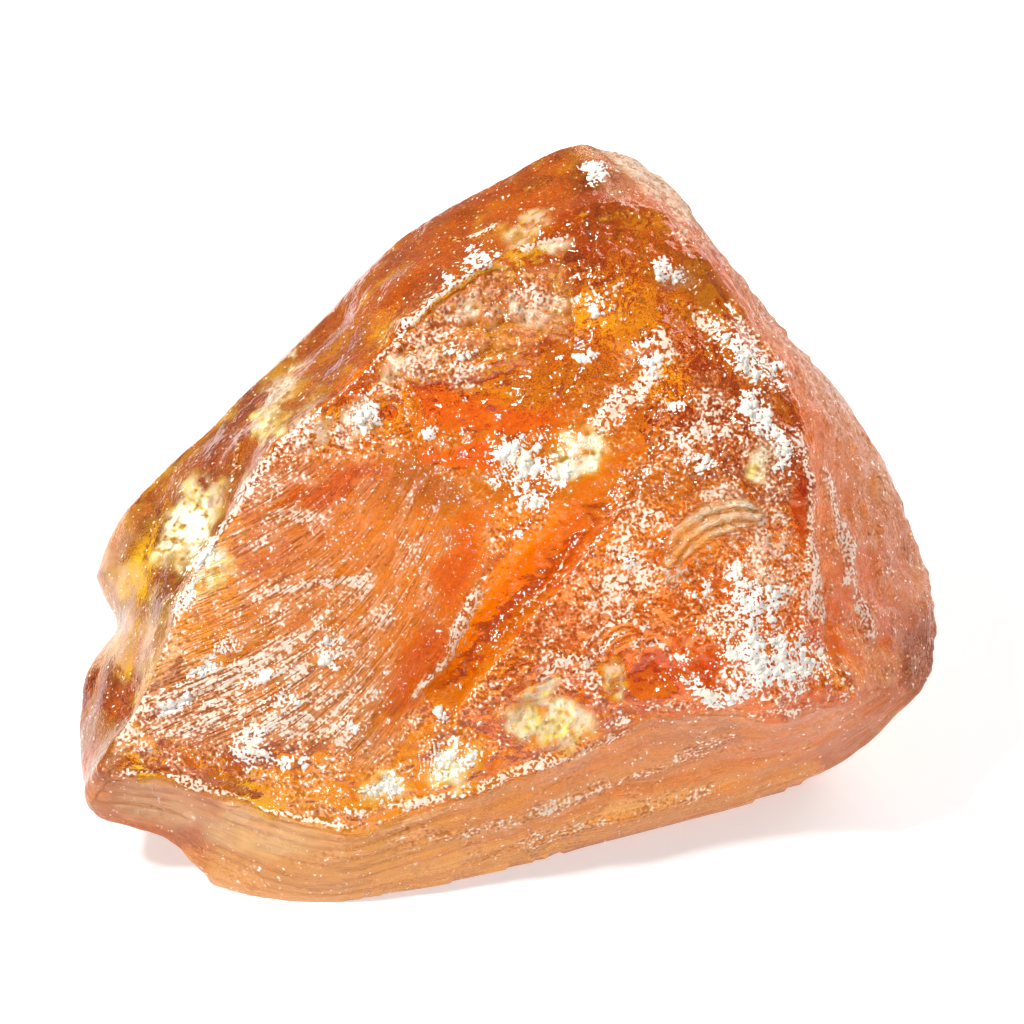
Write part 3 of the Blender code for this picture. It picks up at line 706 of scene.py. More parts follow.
# The curled flake, ridged along its length, and the shell-shaped chips:
# middle of the rings, inner and outer radius, first and last angle, spacing, height.
flake = {"line": [(8.7, -3.2), (10.0, -1.5), (11.4, -0.6), (12.9, -0.1), (14.6, -0.2)],
         "halfWidth": 1.15, "spacing": 0.62, "height": 0.10, "rise": 0.34}
shells = {
    "curls": (7.1, -8.6, 0.9, 3.0, 85, 200, 0.55, 0.13),
    "thumb": (-7.0, 5.8, 0.4, 1.7, -160, 150, 0.55, 0.12),
    "crown": (7.6, 11.8, 0.7, 2.1, 100, 215, 0.42, 0.07),
    "wedge": (2.5, 9.0, 0.8, 2.4, 20, 110, 0.5, 0.06),
}
# Fine lines: path, half-width, height, and the frost on them; on the crown's streak and the lower lip
# that white is a painted highlight. Below 0, it is a dark crack.
lines = {
    "scarpEdge": ([(4.6, -0.9), (3.1, -2.9), (1.7, -4.5), (0.3, -6.2), (-1.2, -8.2)],
                  0.12, 0.10, 0.9),
    "lipCrest": ([(-1.9, -4.6), (-3.0, -6.6), (-4.4, -8.8), (-6.2, -11.2)], 0.32, 0.22, 0.9),
    "crownHighlightStreak": ([(-3.7, 16.0), (-2.2, 16.3), (-0.6, 17.0)], 0.14, 0.05, 1.0),
    "popcornEdge": ([(-7.9, 8.6), (-6.4, 10.4), (-4.6, 12.4), (-2.6, 13.8), (-0.8, 14.8)],
                    0.16, 0.12, 0.8),
    "crownRidge": ([(0.4, 15.2), (1.8, 15.9), (3.4, 16.1)], 0.22, 0.15, 0.9),
    "rightCrack": ([(9.8, 12.2), (11.6, 10.4), (13.2, 9.4)], 0.12, 0.08, 0.9),
    "rightRise": ([(8.3, 11.0), (9.0, 9.6), (8.4, 8.0), (6.4, 6.6), (4.9, 5.2)],
                  0.4, 0.10, 0.8),
    "popcornCrack": ([(-8.2, 8.9), (-5.3, 11.2), (-3.6, 12.8), (-1.9, 14.0), (0.4, 14.3)],
                     0.16, -0.22, -1.0),
    "lowerLipHighlight": ([(-23.4, -15.1), (-20.6, -15.2), (-17.6, -16.0), (-14.6, -17.2), (-11.5, -18.0),
                  (-9.0, -18.3)], 0.10, 0.06, 0.9),
    "windowEdge": ([(9.6, 14.6), (11.0, 12.5), (12.8, 11.0)], 0.10, -0.06, -0.8),
    "curlOne": ([(4.5, -7.6), (5.3, -6.6), (6.5, -6.1), (7.3, -6.4)], 0.14, 0.16, 0.8),
    "curlTwo": ([(5.0, -8.2), (5.8, -7.2), (6.8, -6.8)], 0.13, 0.14, 0.7),
    "curlThree": ([(1.6, -9.6), (2.6, -8.6), (3.8, -8.3), (4.6, -8.8)], 0.15, 0.15, 0.8),
    "curlFour": ([(6.9, -7.6), (7.5, -7.0), (7.7, -6.2)], 0.12, 0.14, 0.7),
    "deepChipEdge": ([(6.7, -9.0), (7.4, -8.0), (8.4, -7.5), (9.2, -8.1), (9.5, -9.4)],
                     0.13, 0.12, 0.8),
    "chipRing": ([(-8.6, 6.6), (-7.6, 7.4), (-6.4, 7.0), (-5.9, 5.8), (-6.2, 4.7)],
                 0.14, 0.12, 0.6),
    "crownCurlOne": ([(5.2, 13.6), (5.6, 12.6), (6.2, 13.2), (6.8, 13.8)], 0.12, 0.10, 0.9),
    "crownCurlTwo": ([(4.6, 13.4), (4.9, 12.7), (5.5, 12.2)], 0.10, 0.08, 0.9),
    "fanSeam": ([(-14.2, -4.6), (-12.0, -4.2), (-9.6, -4.0), (-8.0, -3.7)], 0.16, 0.06, 0.7),
    "leftCrack": ([(-16.0, 4.9), (-16.1, 3.2), (-16.6, 1.6)], 0.13, 0.08, 0.8),
    "leftRim": ([(-19.6, -6.0), (-18.6, -3.4), (-17.0, -0.8), (-15.6, 1.2), (-14.2, 3.0)],
                0.30, 0.05, 0.9),
    "rightStreakOne": ([(16.5, 4.8), (17.4, 1.0), (17.7, -3.0), (18.2, -7.0)], 0.35, 0.12, 0.5),
    "rightStreakTwo": ([(18.4, 3.0), (19.6, -1.0), (20.4, -5.0), (21.6, -8.0)], 0.3, 0.12, 0.4),
    "rightStreakThree": ([(20.1, -1.6), (19.9, -3.0), (19.6, -4.4)], 0.18, 0.12, 0.9),
    "underStreakOne": ([(-10.0, -17.6), (-4.0, -16.6), (2.0, -14.4), (7.0, -12.6)],
                       0.22, 0.10, 0.5),
    "underStreakTwo": ([(-6.0, -19.4), (2.0, -17.4), (9.0, -15.0), (14.0, -13.4)],
                       0.3, 0.12, 0.35),
    "underStreakThree": ([(-2.0, -20.6), (6.0, -18.2), (13.0, -16.2)], 0.35, 0.10, 0.3),
}


def ridged(spots, seed):
    # 1 on the crest of each ridge, -1 in the hollow
    return 1 - np.abs(softNoise(spots, seed)) * 2


normals = vertexNormals(points, tris)
# Lumps on the ground: how many to a millimetre and how high, or how high alone.
bumps = {
    "broad": (0.16, 0.45), "middle": (0.45, 0.26), "small": (1.1, 0.12), "fine": (2.4, 0.085),
    "fanBroad": 0.17, "fanFine": 0.11, "popcornLump": 0.80, "roughLump": 0.40,
    "otherLump": 0.22, "streak": 0.12,
}
# the outline keeps its shape: broad lumps fade at the shoulder
offShoulder = 1 - 0.75 * np.exp(-((depth - 2.0) / 0.4)**2)
push = np.zeros(everyPoint)
push += bumps["broad"][1] * softNoise(points * bumps["broad"][0], 3) * offShoulder
push += bumps["middle"][1] * softNoise(points * bumps["middle"][0] + 7.1, 4) * offShoulder
glassy = np.clip(0.75 * (leftFlank + topFlank) + underFlank * 0.7 + struck * 0.5
                 + 0.6 * (goldenCrown + 0.7 * ledgeShade) * (1 - popcorn) + patch["window"], 0, 0.85)
push += bumps["small"][1] * softNoise(points * bumps["small"][0] + 3.3, 5) * (1 - glassy)
fineGround = layeredNoise(points * bumps["fine"][0], 2, 6)
push += bumps["fine"][1] * fineGround * (1 - glassy)
ribCrest = (bumps["fanBroad"] * ridged(grain * np.array([1, 1.2, 1]), 11)
            + bumps["fanFine"] * ridged(grain * np.array([1.6, 2.7, 1.6]), 12))
push += fan * ribCrest
lumps = onFront(0.6 - pebbles(points[front] * 0.95, 21)[0])
smallLumps = onFront(0.6 - pebbles(points[front] * 2.2, 31)[0])
push += popcorn * bumps["popcornLump"] * (lumps + 0.45 * smallLumps)
push += roughMiddle * bumps["roughLump"] * (lumps + 0.7 * smallLumps)
ordinary = isFront * (1 - fan) * (1 - popcorn) * (1 - roughMiddle)
push += ordinary * bumps["otherLump"] * (lumps + 0.9 * smallLumps)
push += (underFlank + rightFlank) * bumps["streak"] * ridged(streak * np.array([3, 2, 1]), 14)
push[front] *= 0.35 + 0.65 * softStep(0, 0.8, nearRim)
push *= 0.1 + 0.9 * softStep(0.0, 2.0, points[:, 2])

# the white on the lines is frost, and on the crown's streak and the lower lip a painted highlight
lineFrostAndHighlight = np.zeros(everyPoint)
lineDark = np.zeros(everyPoint)
lineWobble = facePlaces + 0.12 * wobble
for path, halfWidth, height, frostAndHighlight in lines.values():
    low, high = np.min(path, axis=0) - 1, np.max(path, axis=0) + 1
    close = np.where((seen > 0) & ((lineWobble > low) & (lineWobble < high)).all(axis=1))[0]
    offset, share = lineOffset(path, lineWobble[close])
    crest = np.exp(-(offset / halfWidth)**2) * softStep(0, 0.15, share + 0.04) \
        * softStep(0, 0.15, 1.04 - share)
    push[close] += height * crest
    lineFrostAndHighlight[close] = np.maximum(lineFrostAndHighlight[close], frostAndHighlight * crest)
    lineDark[close] = np.maximum(lineDark[close], -frostAndHighlight * crest)

flakeOffset, flakeShare = lineOffset(flake["line"], frontPlaces)
flakeWidth = flake["halfWidth"] * np.sqrt(np.clip(4 * flakeShare * (1 - flakeShare), 0, 1))
flakeHere = onFront(1 - softStep(0.75, 1.05, np.abs(flakeOffset) / np.maximum(flakeWidth, 0.05)))
flakeRidge = onFront(np.sin(2 * math.pi * flakeOffset / flake["spacing"] + 3 * flakeShare))
push += flakeHere * (flake["rise"] + flake["height"] * flakeRidge)
shellHere = np.zeros(everyPoint)
shellRidge = np.zeros(everyPoint)
for x, y, inner, outer, startTurn, endTurn, spacing, height in shells.values():
    away = lineWobble - np.array([x, y])
    reach = np.hypot(away[:, 0], away[:, 1])
    half = math.radians(endTurn - startTurn) / 2
    turned = np.arctan2(away[:, 1], away[:, 0]) - math.radians(startTurn) - half
    turned = np.abs((turned + math.pi) % (2 * math.pi) - math.pi)
    here = (softStep(inner - 0.15, inner + 0.15, reach)
            * (1 - softStep(outer - 0.2, outer + 0.2, reach))
            * (1 - softStep(half - 0.3, half, turned)) * seen)
    ridge = np.sin(2 * math.pi * reach / spacing)
    push += here * height * ridge
    shellHere = np.maximum(shellHere, here)
    shellRidge = np.where(here > 0.02, ridge, shellRidge)
points = points + normals * push[:, None]
points[:, 2] = np.where(points[:, 2] < lump["restSnap"], 0.0, points[:, 2])
points = points - np.array(lump["middle"])
print("fine ground done")


def addPiece(name, places, faces, material):
    # a mesh of triangles, its places turned from millimetres into metres
    mesh = bpy.data.meshes.new(name)
    mesh.vertices.add(len(places))
    mesh.vertices.foreach_set("co", (places * mm).ravel())
    mesh.loops.add(len(faces) * 3)
    mesh.loops.foreach_set("vertex_index", faces.ravel().astype(np.int32))
    mesh.polygons.add(len(faces))
    mesh.polygons.foreach_set("loop_start", np.arange(len(faces), dtype=np.int32) * 3)
    mesh.polygons.foreach_set("loop_total", np.full(len(faces), 3, dtype=np.int32))
    mesh.update(calc_edges=True)
    mesh.validate()
    mesh.shade_smooth()
    mesh.materials.append(material)
    piece = bpy.data.objects.new(name, mesh)
    bpy.context.scene.collection.objects.link(piece)
    return piece


def addMeasure(piece, name, values, kind="FLOAT", field="value"):
    # one value, vector or colour at each point
    layer = piece.data.attributes.new(name, kind, "POINT")
    layer.data.foreach_set(field, np.asarray(values, np.float32).ravel())


def startMaterial(name):
    # a new node material and its main shader
    material = bpy.data.materials.new(name)
    material.use_nodes = True
    return material, material.node_tree, material.node_tree.nodes["Principled BSDF"]


class Sketch:
    # short calls for wiring shader nodes: each adds one node and gives its output
    def __init__(self, tree):
        self.tree = tree
        self.spot = self.node("ShaderNodeTexCoord").outputs["Object"]

    def node(self, kind, **settings):
        made = self.tree.nodes.new(kind)
        for key, value in settings.items():
            setattr(made, key, value)
        return made

    def feed(self, socket, value):
        # a link from another node, or a plain value
        if isinstance(value, bpy.types.NodeSocket):
            self.tree.links.new(value, socket)
        else:
            socket.default_value = value

    def fill(self, made, output, **items):
        for key, item in items.items():
            self.feed(made.inputs[int(key[1:]) if key[1:].isdigit() else key], item)
        return made.outputs[output]

    def measure(self, name, output="Fac"):
        return self.node("ShaderNodeAttribute", attribute_name=name).outputs[output]

    def noise(self, vector, scale, detail, rough=0.55):
        return self.fill(self.node("ShaderNodeTexNoise"), "Fac", Vector=vector, Scale=scale,
                         Detail=detail, Roughness=rough)

    def calc(self, operation, one, two):
        return self.fill(self.node("ShaderNodeMath", operation=operation), 0, _0=one, _1=two)

    def times(self, one, two):
        return self.calc("MULTIPLY", one, two)

    def plus(self, one, two):
        return self.calc("ADD", one, two)

    def ramp(self, value, low, high, start=0.0, end=1.0):
        # start below low, end above high, a smooth S between
        made = self.node("ShaderNodeMapRange", interpolation_type="SMOOTHSTEP")
        return self.fill(made, "Result", **{"Value": value, "From Min": low, "From Max": high,
                                            "To Min": start, "To Max": end})

    def blend(self, share, one, two):
        # one at share 0, two at share 1, for colours
        return self.fill(self.node("ShaderNodeMix", data_type="RGBA"), 2,
                         Factor=share, _6=one, _7=two)

    def level(self, share, one, two):
        # one at share 0, two at share 1, for numbers
        return self.fill(self.node("ShaderNodeMix", data_type="FLOAT"), 0,
                         Factor=share, _2=one, _3=two)

    def bump(self, height, distance):
        return self.fill(self.node("ShaderNodeBump"), "Normal", Height=height,
                         Distance=distance)


# Colours are linear light. Absorption is what plain glass of this colour takes out.
amberLook = {
    "orange": (0.98, 0.39, 0.05), "pure": (0.97, 0.25, 0.01), "amber": (0.72, 0.47, 0.01),
    # deep is used only for painted shade, in the groove and on the scarp's slope
    "deep": (0.60, 0.11, 0.006), "rust": (0.40, 0.14, 0.004), "ember": (0.30, 0.10, 0.008),
    "golden": (0.95, 0.68, 0.02), "yellow": (1.0, 0.85, 0.25), "cream": (1.0, 0.93, 0.70),
    "brown": (0.42, 0.20, 0.008), "salmon": (0.97, 0.43, 0.20), "pink": (0.90, 0.53, 0.33),
    "amberPink": (0.66, 0.28, 0.13), "red": (0.62, 0.06, 0.001), "clay": (0.70, 0.30, 0.13),
    "tan": (0.84, 0.52, 0.26),
    "veil": (0.94, 0.48, 0.26, 1), "veilShare": 0.62,
    # the frost colour also serves for painted highlights on lines and crests
    "frostAndHighlight": (1.0, 0.90, 0.78, 1), "frostAndHighlightShare": 0.9, "frostAndHighlightReach": 0.26,
    # the crease colour is painted shade along the frost's edges, as in crevices
    "creaseShade": (0.38, 0.10, 0.008, 1), "creaseShadeShare": 0.88,
    "crust": (0.97, 0.94, 0.88, 1), "crustRaggedness": 3.6,
    "ior": 1.54, "absorption": (0.985, 0.86, 0.0, 1), "density": 200.0,
    "glossRoughness": 0.06, "hazeRoughness": 0.40, "crustRoughness": 0.8,
    "speckle": 2100, "grit": 5200, "lineRate": 7.0, "bump": 0.00022,
}


def makeAmber(look):
    # base = tint, then veil, frost with painted highlights, and painted crease shade over it; the
    # clearness falls where they lie
    material, tree, shader = startMaterial("amber_rough")
    s = Sketch(tree)
    tint = s.measure("tint", "Color")
    lined, gritty, crust = s.measure("lined"), s.measure("gritty"), s.measure("crust")
    clearHere, frostAndHighlightHere = s.measure("clear"), s.measure("frostAndHighlight")

    speckle = s.noise(s.spot, look["speckle"], 2, 0.65)
    grit = s.noise(s.spot, look["grit"], 0, 0.6)
    lines = s.noise(s.measure("grain", "Vector"), look["lineRate"], 2, 0.62)

    # frost and painted highlights are crisp: a salmon veil, then white where they are thickest
    grainy = s.plus(s.times(speckle, 0.5), s.times(grit, 0.5))
    scratched = s.level(s.times(lined, 0.7), grainy, lines)
    moreFrostAndHighlight = s.times(s.calc("SUBTRACT", frostAndHighlightHere, 0.5), look["frostAndHighlightReach"])
    veil = s.ramp(s.plus(scratched, moreFrostAndHighlight), 0.44, 0.55)
    dusty = s.level(s.times(lined, 0.35), grainy, lines)
    white = s.ramp(s.plus(dusty, moreFrostAndHighlight), 0.58, 0.63)
    # a dark fringe along the veil's edge: painted shade, as in crevices
    creaseShade = s.times(s.ramp(scratched, 0.43, 0.475, 1.0, 0.0), s.ramp(frostAndHighlightHere, 0.15, 0.5))
    ragged = s.times(s.calc("SUBTRACT", grainy, 0.5), look["crustRaggedness"])
    crustHere = s.ramp(s.plus(crust, ragged), 0.62, 0.72)

    colour = s.blend(s.times(veil, look["veilShare"]), tint, look["veil"])
    colour = s.blend(s.times(white, look["frostAndHighlightShare"]), colour, look["frostAndHighlight"])
    colour = s.blend(s.times(creaseShade, look["creaseShadeShare"]), colour, look["creaseShade"])
    s.feed(shader.inputs["Base Color"], s.blend(crustHere, colour, look["crust"]))
    clear = s.level(white, s.level(s.times(veil, 0.8), clearHere, 0.55), 0.15)
    s.feed(shader.inputs["Transmission Weight"], s.level(crustHere, clear, 0.0))
    rough = s.level(clearHere, look["hazeRoughness"], look["glossRoughness"])
    s.feed(shader.inputs["Roughness"], s.level(crustHere, rough, look["crustRoughness"]))

    height = s.times(speckle, s.times(gritty, 0.6))
    height = s.plus(height, s.times(lines, s.times(lined, 1.4)))
    height = s.plus(height, s.times(crust, 0.8))
    s.feed(shader.inputs["Normal"], s.bump(height, look["bump"]))

    shader.inputs["IOR"].default_value = look["ior"]
    shader.inputs["Metallic"].default_value = 0.0
    absorb = s.node("ShaderNodeVolumeAbsorption")
    absorb.inputs["Color"].default_value = look["absorption"]
    absorb.inputs["Density"].default_value = look["density"]
    tree.links.new(absorb.outputs[0], tree.nodes["Material Output"].inputs["Volume"])
    return material


amber = makeAmber(amberLook)

normals = vertexNormals(points, tris)
tint = np.tile(np.array(amberLook["orange"]), (everyPoint, 1))


def toneAndPaintedLight(share, name):
    # tint moves towards the named colour: tint + share (colour - tint); this lays the lump's own
    # tones and also its painted shade and painted highlights
    global tint
    tint = tint + (np.array(amberLook[name]) - tint) * np.clip(share, 0, 1)[:, None]


# Clouds of tone, 0 to 1, from the widest to the smallest.
broad = 0.5 + 0.5 * layeredNoise(points * 0.22, 3, 91)
cloudy = 0.5 + 0.5 * layeredNoise(points * 0.55, 3, 93)
patchy = 0.5 + 0.5 * layeredNoise(points * 0.8, 4, 95)
ragged = softStep(0.18, 0.50, 0.5 + 0.5 * layeredNoise(points * 1.7, 4, 99))
spotty = 0.5 + 0.5 * layeredNoise(points * 2.6, 3, 103)
crests = np.where(isFront > 0, lumps + 0.7 * smallLumps, 0.0)
upperSides = np.clip(leftFlank + topFlank, 0, 1)
streakTone = 0.5 + 0.5 * layeredNoise(streak * np.array([1, 1.4, 1]), 3, 97)
# Each colour lies over the ones before it: first the wide grounds.
toneAndPaintedLight(softStep(0.35, 0.8, broad) * 0.7, "pure")
toneAndPaintedLight((1 - seen) * 0.6, "golden")
toneAndPaintedLight(0.45 * rightField + 0.35 * fan, "salmon")
# the band under the ledge takes amber, and brown below, as painted shade
toneAndPaintedLight(upperSides + 0.8 * goldenCrown + 0.5 * ledgeShade, "amber")
toneAndPaintedLight(upperSides * 0.45, "golden")
toneAndPaintedLight((upperSides + 0.6 * goldenCrown) * softStep(0.38, 0.56, cloudy), "golden")
brownGround = 0.45 * topFlank + 0.2 * leftFlank + 0.7 * goldenCrown + 0.6 * ledgeShade
toneAndPaintedLight(brownGround * (1 - softStep(0.30, 0.50, cloudy)), "brown")
toneAndPaintedLight((rightFlank * softStep(0.8, 1.3, depth) + underFlank) * softStep(0.1, 0.5, streakTone) * 0.85,
    "salmon")
toneAndPaintedLight((underFlank + rightFlank * softStep(1.0, 1.6, depth)) * softStep(0.5, 0.8, streakTone) * 0.6,
    "pink")
toneAndPaintedLight(isFront * softStep(5.5, 8.5, facePlaces[:, 1]) * 0.75, "rust")
emberBand = (isFront * softStep(-1.5, 1.5, roamed[:, 1]) * (1 - softStep(6.5, 9.0, roamed[:, 1]))
             * softStep(-9.5, -6.0, roamed[:, 0]))
toneAndPaintedLight(emberBand * 0.9, "ember")
# The lumpy patch: amber, clay on its domes, a painted highlight in cream on its crests and painted
# shade in brown in its hollows, which the rough middle gets too.
toneAndPaintedLight(popcorn * 0.7, "amber")
toneAndPaintedLight(popcorn * softStep(-0.10, 0.30, crests) * 0.85, "clay")
toneAndPaintedLight(popcorn * softStep(0.38, 0.65, crests) * 0.55, "cream")
toneAndPaintedLight((popcorn + 0.6 * roughMiddle) * (1 - softStep(-0.20, 0.16, crests)) * 0.9, "brown")
toneAndPaintedLight(rightFlank * softStep(-4, 12, facePlaces[:, 1]) * 0.8, "pink")
toneAndPaintedLight(softStep(0.5, 0.9, patchy) * isFront * (1 - goldenCrown) * 0.4, "salmon")
# Then the patches, the flake, the shells and the cracks.
toneAndPaintedLight(patch["pure"] * 0.8, "red")
toneAndPaintedLight(underFlank * softStep(2.0, -12.0, facePlaces[:, 0]) * 0.75, "amberPink")
toneAndPaintedLight(patch["lobe"] * (0.6 + 0.4 * softStep(0.3, 0.6, cloudy)), "tan")
# the scarp's slope gets brown and then deep red as painted shade
toneAndPaintedLight(patch["brown"] * 0.85 + scarpShade * 0.7 + patch["window"], "brown")
toneAndPaintedLight(scarpShade * 0.5, "deep")
toneAndPaintedLight(patch["golden"], "golden")
toneAndPaintedLight(patch["yellow"] * (0.3 + 0.7 * ragged), "yellow")
toneAndPaintedLight(patch["yellow"] * softStep(0.42, 0.6, spotty) * 0.9, "cream")
toneAndPaintedLight(patch["cream"] * ragged, "cream")
toneAndPaintedLight((patch["yellow"] + patch["cream"]) * (1 - softStep(0.16, 0.26, spotty)) * 0.7, "brown")
toneAndPaintedLight(rightFlank * (1 - softStep(0.4, 0.9, depth)) * 0.6, "pure")
toneAndPaintedLight(flakeHere, "tan")
# on the flake's and the shells' ridges, cream on the crests is a painted highlight and brown in the
# troughs is painted shade
toneAndPaintedLight(flakeHere * softStep(-0.1, 0.6, flakeRidge), "cream")
toneAndPaintedLight(flakeHere * softStep(0.4, 0.9, -flakeRidge) * 0.9, "brown")
toneAndPaintedLight(shellHere * softStep(0.0, 0.8, shellRidge) * 0.7, "cream")
toneAndPaintedLight(shellHere * softStep(0.2, 0.9, -shellRidge) * 0.7, "brown")
toneAndPaintedLight(lineDark, "brown")
# the groove gets deep red as painted shade, and is clearer and less frosted
grooveShade = onFront(softStep(0, 0.5, (1 - grooveAcross**2)**2 * lowerHalf)
                      * softStep(0, 0.3, scarpEnds))
toneAndPaintedLight(grooveShade * 0.9, "deep")
toneAndPaintedLight(underFlank * (1 - softStep(0.3, 1.0, depth)) * 0.5, "pink")
toneAndPaintedLight(underFlank * softStep(1.2, 1.8, depth) * 0.6, "orange")

# How much light goes through, and how much frost, with painted highlights, lies on top.
clear = 0.97 - 0.20 * softStep(0.4, 0.9, patchy) * (1 - goldenCrown)
clear -= 0.18 * rightFlank + 0.24 * underFlank + 0.30 * popcorn + 0.10 * fan + 0.12 * rightField
clear -= 0.7 * patch["cream"] * ragged + 0.75 * patch["yellow"] * (0.4 + 0.6 * ragged)
clear -= 0.3 * patch["lobe"] + 0.35 * flakeHere
clear += 0.3 * (patch["pure"] + patch["golden"] + grooveShade + 0.5 * patch["brown"]
                + patch["window"])
frostAndHighlight = 0.34 + 0.10 * fan - 0.06 * popcorn + 0.14 * roughMiddle + 0.12 * rightField
frostAndHighlight += 0.50 * (patchy - 0.5) + 0.35 * patch["frosted"] + 0.25 * patch["cream"] * ragged
frostAndHighlight += 0.14 * fan * softStep(-3, -12, facePlaces[:, 1])
# the white on the fan's rib crests and on the lumps' crests is a painted highlight
frostAndHighlight += fan * 1.6 * (ribCrest - 0.08) + 0.4 * (popcorn + roughMiddle) * (crests - 0.2)
frostAndHighlight -= 0.7 * patch["pure"] + 0.5 * patch["golden"] + 0.8 * grooveShade + 0.15 * scarpShade
frostAndHighlight -= 0.30 * goldenCrown + 0.22 * ledgeShade * (1 - patch["frosted"]) + 0.6 * patch["window"]
frostAndHighlight -= 0.35 * upperSides + 0.15 * underFlank + 0.3 * patch["lobe"] + 0.3 * flakeHere
frostAndHighlight -= 0.45 * patch["yellow"]
frostAndHighlight -= (0.20 * isFront * softStep(4.0, 8.0, facePlaces[:, 1]) * (1 - patch["frosted"])
          * (1 - popcorn))
frostAndHighlight += 1.6 * lineFrostAndHighlight - 0.35 * (1 - seen) - lineDark
frostAndHighlight += 0.5 * onFront(1 - softStep(0.05, 0.35, nearRim)) * (patchy + 0.2)
# the line noise runs with the ribs on the fan and with the streaks on the flank
flankLines = (underFlank + rightFlank)[:, None]
grain = np.where(flankLines > 0.5, streak, grain)
flakeGrain = np.stack([onFront(flakeShare) * 0.8, onFront(flakeOffset) * 0.6,
                       np.zeros(everyPoint)], axis=1)
grain = np.where(flakeHere[:, None] > 0.05, flakeGrain, grain)

body = addPiece("raw_amber_body", points, tris, amber)
for name, values in (("clear", clear), ("frostAndHighlight", frostAndHighlight), ("crust", crust),
                     ("lined", fan + 0.45 * underFlank + 0.5 * rightFlank + flakeHere),
                     ("gritty", 1 - 0.7 * glassy - 0.4 * patch["pure"])):
    addMeasure(body, name, np.clip(values, 0, 1))
addMeasure(body, "grain", grain, "FLOAT_VECTOR", "vector")
addMeasure(body, "tint", np.column_stack([tint, np.ones(everyPoint)]), "FLOAT_COLOR", "color")
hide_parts("raw_amber")
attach(body, "root")
print("lump made, box", (points.max(axis=0) - points.min(axis=0)).round(1))

# White crust and loose dust: how many, and the smallest and largest radius.
crumbs = {
    "large": 1500, "largeSize": (0.05, 0.22), "tiny": 3600, "tinySize": (0.03, 0.09),
    "smallMore": 2.2, "unevenness": 0.42, "looseShare": 0.03, "crustShare": 0.5,
    "floorGap": 0.02, "rate": 2200, "toneRate": 300, "bump": 0.00006,
    "shade": (0.90, 0.80, 0.68, 1),
}


def makeCrust(look, own):
    # white and cream by a wide noise, with painted shade in the hollows of a fine one
    material, tree, shader = startMaterial("amber_crust")
    s = Sketch(tree)
    grit = s.noise(s.spot, own["rate"], 5, 0.65)
    tone = s.blend(s.ramp(s.noise(s.spot, own["toneRate"], 3), 0.5, 0.68), look["crust"],
                   (*look["cream"], 1))
    s.feed(shader.inputs["Base Color"], s.blend(s.ramp(grit, 0.35, 0.55), own["shade"], tone))
    s.feed(shader.inputs["Roughness"], s.ramp(grit, 0.3, 0.7, 0.45, 0.9))
    s.feed(shader.inputs["Normal"], s.bump(grit, own["bump"]))
    return material


crustStuff = makeCrust(amberLook, crumbs)


def ballOf(level):
    # an icosahedron, each face cut in four level times, on the unit ball
    g = (1 + math.sqrt(5)) / 2
    corners = unit(np.array([(-1, g, 0), (1, g, 0), (-1, -g, 0), (1, -g, 0), (0, -1, g), (0, 1, g),
                             (0, -1, -g), (0, 1, -g), (g, 0, -1), (g, 0, 1), (-g, 0, -1),
                             (-g, 0, 1)], float))
    faces = np.array([(0, 11, 5), (0, 5, 1), (0, 1, 7), (0, 7, 10), (0, 10, 11), (1, 5, 9),
                      (5, 11, 4), (11, 10, 2), (10, 7, 6), (7, 1, 8), (3, 9, 4), (3, 4, 2),
                      (3, 2, 6), (3, 6, 8), (3, 8, 9), (4, 9, 5), (2, 4, 11), (6, 2, 10),
                      (8, 6, 7), (9, 8, 1)])
    for _ in range(level):
        edges = np.concatenate([faces[:, [0, 1]], faces[:, [1, 2]], faces[:, [2, 0]]])
        keys, back = np.unique(np.sort(edges, axis=1), axis=0, return_inverse=True)
        back = back.ravel() + len(corners)
        ab, bc, ca = np.split(back, 3)
        corners = np.concatenate([corners, unit(corners[keys[:, 0]] + corners[keys[:, 1]])])
        a, b, c = faces.T
        faces = np.concatenate([np.stack([a, ab, ca], 1), np.stack([b, bc, ab], 1),
                                np.stack([c, ca, bc], 1), np.stack([ab, bc, ca], 1)])
    return corners, faces


def scatterCrumbs(name, count, size, level, weights, seed):
    # each crumb is an uneven ball, flattened towards the ground and set half-way into it
    draw = np.random.default_rng(seed)
    ball, faces = ballOf(level)
    chosen = draw.choice(len(weights), count, p=weights / weights.sum())
    sizes = size[0] + (size[1] - size[0]) * draw.random(count)**crumbs["smallMore"]
    spin = unit(draw.normal(size=(count, 3)))
    normal = normals[chosen]
    one = unit(np.cross(normal, spin))
    two = np.cross(normal, one)
    stretch = 0.65 + 0.7 * draw.random((count, 2))
    flat = 0.45 + 0.35 * draw.random(count)
    uneven = 1 + crumbs["unevenness"] * softNoise((ball[None] * 1.7 + 9.1 * spin[:, None] * np.arange(
        count)[:, None, None] % 57).reshape(-1, 3), seed).reshape(count, -1)
    local = ball[None] * uneven[..., None]
    places = (points[chosen][:, None]
              + one[:, None] * (local[..., 0:1] * (sizes * stretch[:, 0])[:, None, None])
              + two[:, None] * (local[..., 1:2] * (sizes * stretch[:, 1])[:, None, None])
              + normal[:, None] * (local[..., 2:3] * (sizes * flat)[:, None, None]))
    low = places.reshape(-1, 3)
    low[:, 2] = np.maximum(low[:, 2], crumbs["floorGap"])
    allFaces = (faces[None] + (np.arange(count) * len(ball))[:, None, None]).reshape(-1, 3)
    return addPiece(name, low, allFaces, crustStuff)


